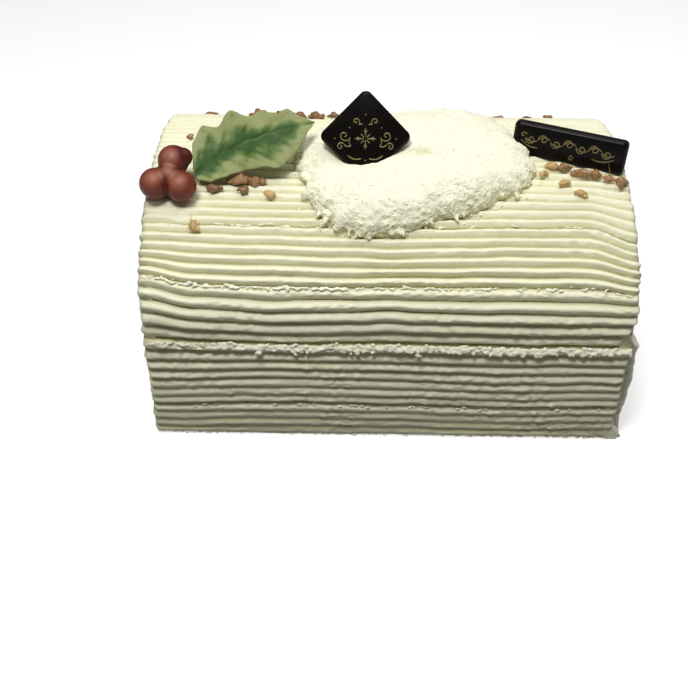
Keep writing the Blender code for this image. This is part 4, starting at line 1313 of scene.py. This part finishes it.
pralineForm = dict(
    # x, distance from the crown (front negative), length, width, height (mm)
    chips=((-53.8, -23.8, 5.3, 3.7, 2.8), (-46.8, -20.9, 6.5, 5.4, 4.4), (-44.9, -24.6, 3.8, 3.5, 2.8),
           (-41.0, -20.6, 5.2, 4.8, 3.8), (-36.6, -26.0, 3.7, 3.4, 2.5), (-58.7, -39.0, 3.0, 4.8, 2.5),
           (-64.5, 4.6, 2.5, 2.3, 1.8), (-44.8, 30.5, 5.5, 4.0, 3.5), (-40.0, 27.0, 4.4, 3.4, 3.0),
           (-35.8, 30.4, 4.8, 3.9, 3.2), (-30.2, 26.3, 4.9, 4.4, 3.7), (-24.3, 27.4, 5.2, 4.1, 3.4),
           (-18.3, 28.8, 4.1, 3.2, 2.8), (48.4, -15.4, 2.5, 3.2, 2.5), (51.2, -11.6, 4.1, 3.2, 3.0),
           (55.2, -12.4, 4.4, 3.4, 3.2), (59.6, -15.8, 6.0, 4.1, 3.7), (64.2, -16.0, 3.7, 3.7, 3.4),
           (54.1, -20.2, 4.0, 3.7, 3.0), (58.6, -24.4, 4.6, 2.8, 2.2), (68.2, -18.0, 3.9, 3.0, 2.8),
           (71.9, -19.6, 3.9, 3.7, 5.3)),
    golden=(4, 5, 13, 14, 18, 19),   # chips that stayed light
    goldenTone=0.1, brownTone=0.62,
    # more behind the crown, strewn
    backCount=17, backAround=(43 * mm, 63 * mm), backLength=(3.0 * mm, 4.8 * mm), spacing=5.5 * mm,
    grains=((1.0, 0.0), (0.62, 0.3), (0.5, -0.34)),   # a chip's grains: scale and shift along it
    sink=0.28, points=17, worn=0.05, sharpAngle=math.radians(45),
)
pralineColours = dict(gold=(0.60, 0.41, 0.15), brown=(0.40, 0.22, 0.095), dark=(0.19, 0.095, 0.045))


def caramelNut():
    look = pralineColours
    nut = Finish("caramelNut", Subsurface_Weight=0.1, Subsurface_Radius=(1.0, 0.5, 0.2),
                 Subsurface_Scale=0.6 * mm, Coat_Roughness=0.25, Specular_IOR_Level=0.45)
    tone = nut.painted("tone")
    cloud = nut.grain(0.9, 4)
    shade = nut.step(tone + (cloud - 0.5) * 0.7, 0.0, 1.0)
    tint = nut.ramp(shade, ((0.0, look["gold"]), (0.55, look["brown"]), (1.0, look["dark"])))
    nut.feed(Base_Color=tint, Roughness=0.32 + cloud * 0.25, Coat_Weight=0.15 + cloud * 0.3,
             Normal=nut.bump(nut.grain(0.35, 3), 0.14 * mm, 0.8))
    return nut


def chipPlaces():
    dice = random.Random(5)
    chips = []
    for number, (x, away, length, width, height) in enumerate(pralineForm["chips"]):
        tone = pralineForm["goldenTone" if number in pralineForm["golden"] else "brownTone"]
        chips.append((x * mm, crown + away * mm, length * mm, width * mm, height * mm, tone))
    taken = [(chip[0], chip[1]) for chip in chips]
    while len(chips) < len(pralineForm["chips"]) + pralineForm["backCount"]:
        x = dice.uniform(-0.46, 0.46) * cakeForm["length"]
        around = crown + dice.uniform(*pralineForm["backAround"])
        if min(math.hypot(x - other[0], around - other[1]) for other in taken) < pralineForm["spacing"]:
            continue
        taken.append((x, around))
        size = dice.uniform(*pralineForm["backLength"])
        chips.append((x, around, size, size * dice.uniform(0.6, 0.9), size * dice.uniform(0.5, 0.7),
                      0.2 if len(chips) % 4 == 0 else 0.6))
    return chips


def addGrain(chip, scale, middle, dice):
    # the hull of a few random points, its edges a little worn
    grain = bmesh.new()
    for _ in range(pralineForm["points"]):
        way = Vector((dice.gauss(0, 1), dice.gauss(0, 1), dice.gauss(0, 1))).normalized()
        grain.verts.new(way * dice.uniform(0.40, 0.56) * scale + middle)
    hull = bmesh.ops.convex_hull(grain, input=grain.verts)
    loose = [part for part in hull["geom_interior"] if isinstance(part, bmesh.types.BMVert)]
    bmesh.ops.delete(grain, geom=loose, context="VERTS")
    bmesh.ops.bevel(grain, geom=grain.edges[:], offset=pralineForm["worn"] * scale, segments=2,
                    affect="EDGES", profile=0.6)
    mesh = bpy.data.meshes.new("grain")
    grain.to_mesh(mesh)
    grain.free()
    chip.from_mesh(mesh)
    bpy.data.meshes.remove(mesh)


def makePraline(finish):
    dice = random.Random(43)
    whole = bmesh.new()
    tones = whole.verts.layers.float.new("tone")
    for x, around, length, width, height, tone in chipPlaces():
        chip = bmesh.new()
        for scale, shift in pralineForm["grains"]:
            addGrain(chip, scale, Vector((shift, dice.uniform(-0.2, 0.2), dice.uniform(-0.1, 0.15))), dice)
        up = Vector(outward(around))
        stand = Vector((0, 0, 1)).rotation_difference(up).to_matrix()
        heading = Matrix.Rotation(dice.uniform(-0.7, 0.7), 3, "Z")
        lean = Matrix.Rotation(dice.uniform(-0.3, 0.3), 3, "Y")
        place = Vector(onCake(x, around, height * (0.5 - pralineForm["sink"])))
        shade = tone + dice.uniform(-0.15, 0.2)
        mesh = bpy.data.meshes.new("chip")
        size = Matrix.Diagonal((length, width, height))
        for vertex in chip.verts:
            vertex.co = place + stand @ (heading @ (lean @ (size @ vertex.co)))
        bmesh.ops.recalc_face_normals(chip, faces=chip.faces)
        chip.to_mesh(mesh)
        chip.free()
        before = len(whole.verts)
        whole.from_mesh(mesh)
        whole.verts.ensure_lookup_table()
        for vertex in whole.verts[before:]:
            vertex[tones] = shade
        bpy.data.meshes.remove(mesh)
    mesh = bpy.data.meshes.new("pralineChips")
    whole.to_mesh(mesh)
    whole.free()
    piece = dressMesh("pralineChips", mesh, finish, "log")
    piece.data.set_sharp_from_angle(angle=pralineForm["sharpAngle"])


makePraline(caramelNut())
print("praline scattered")
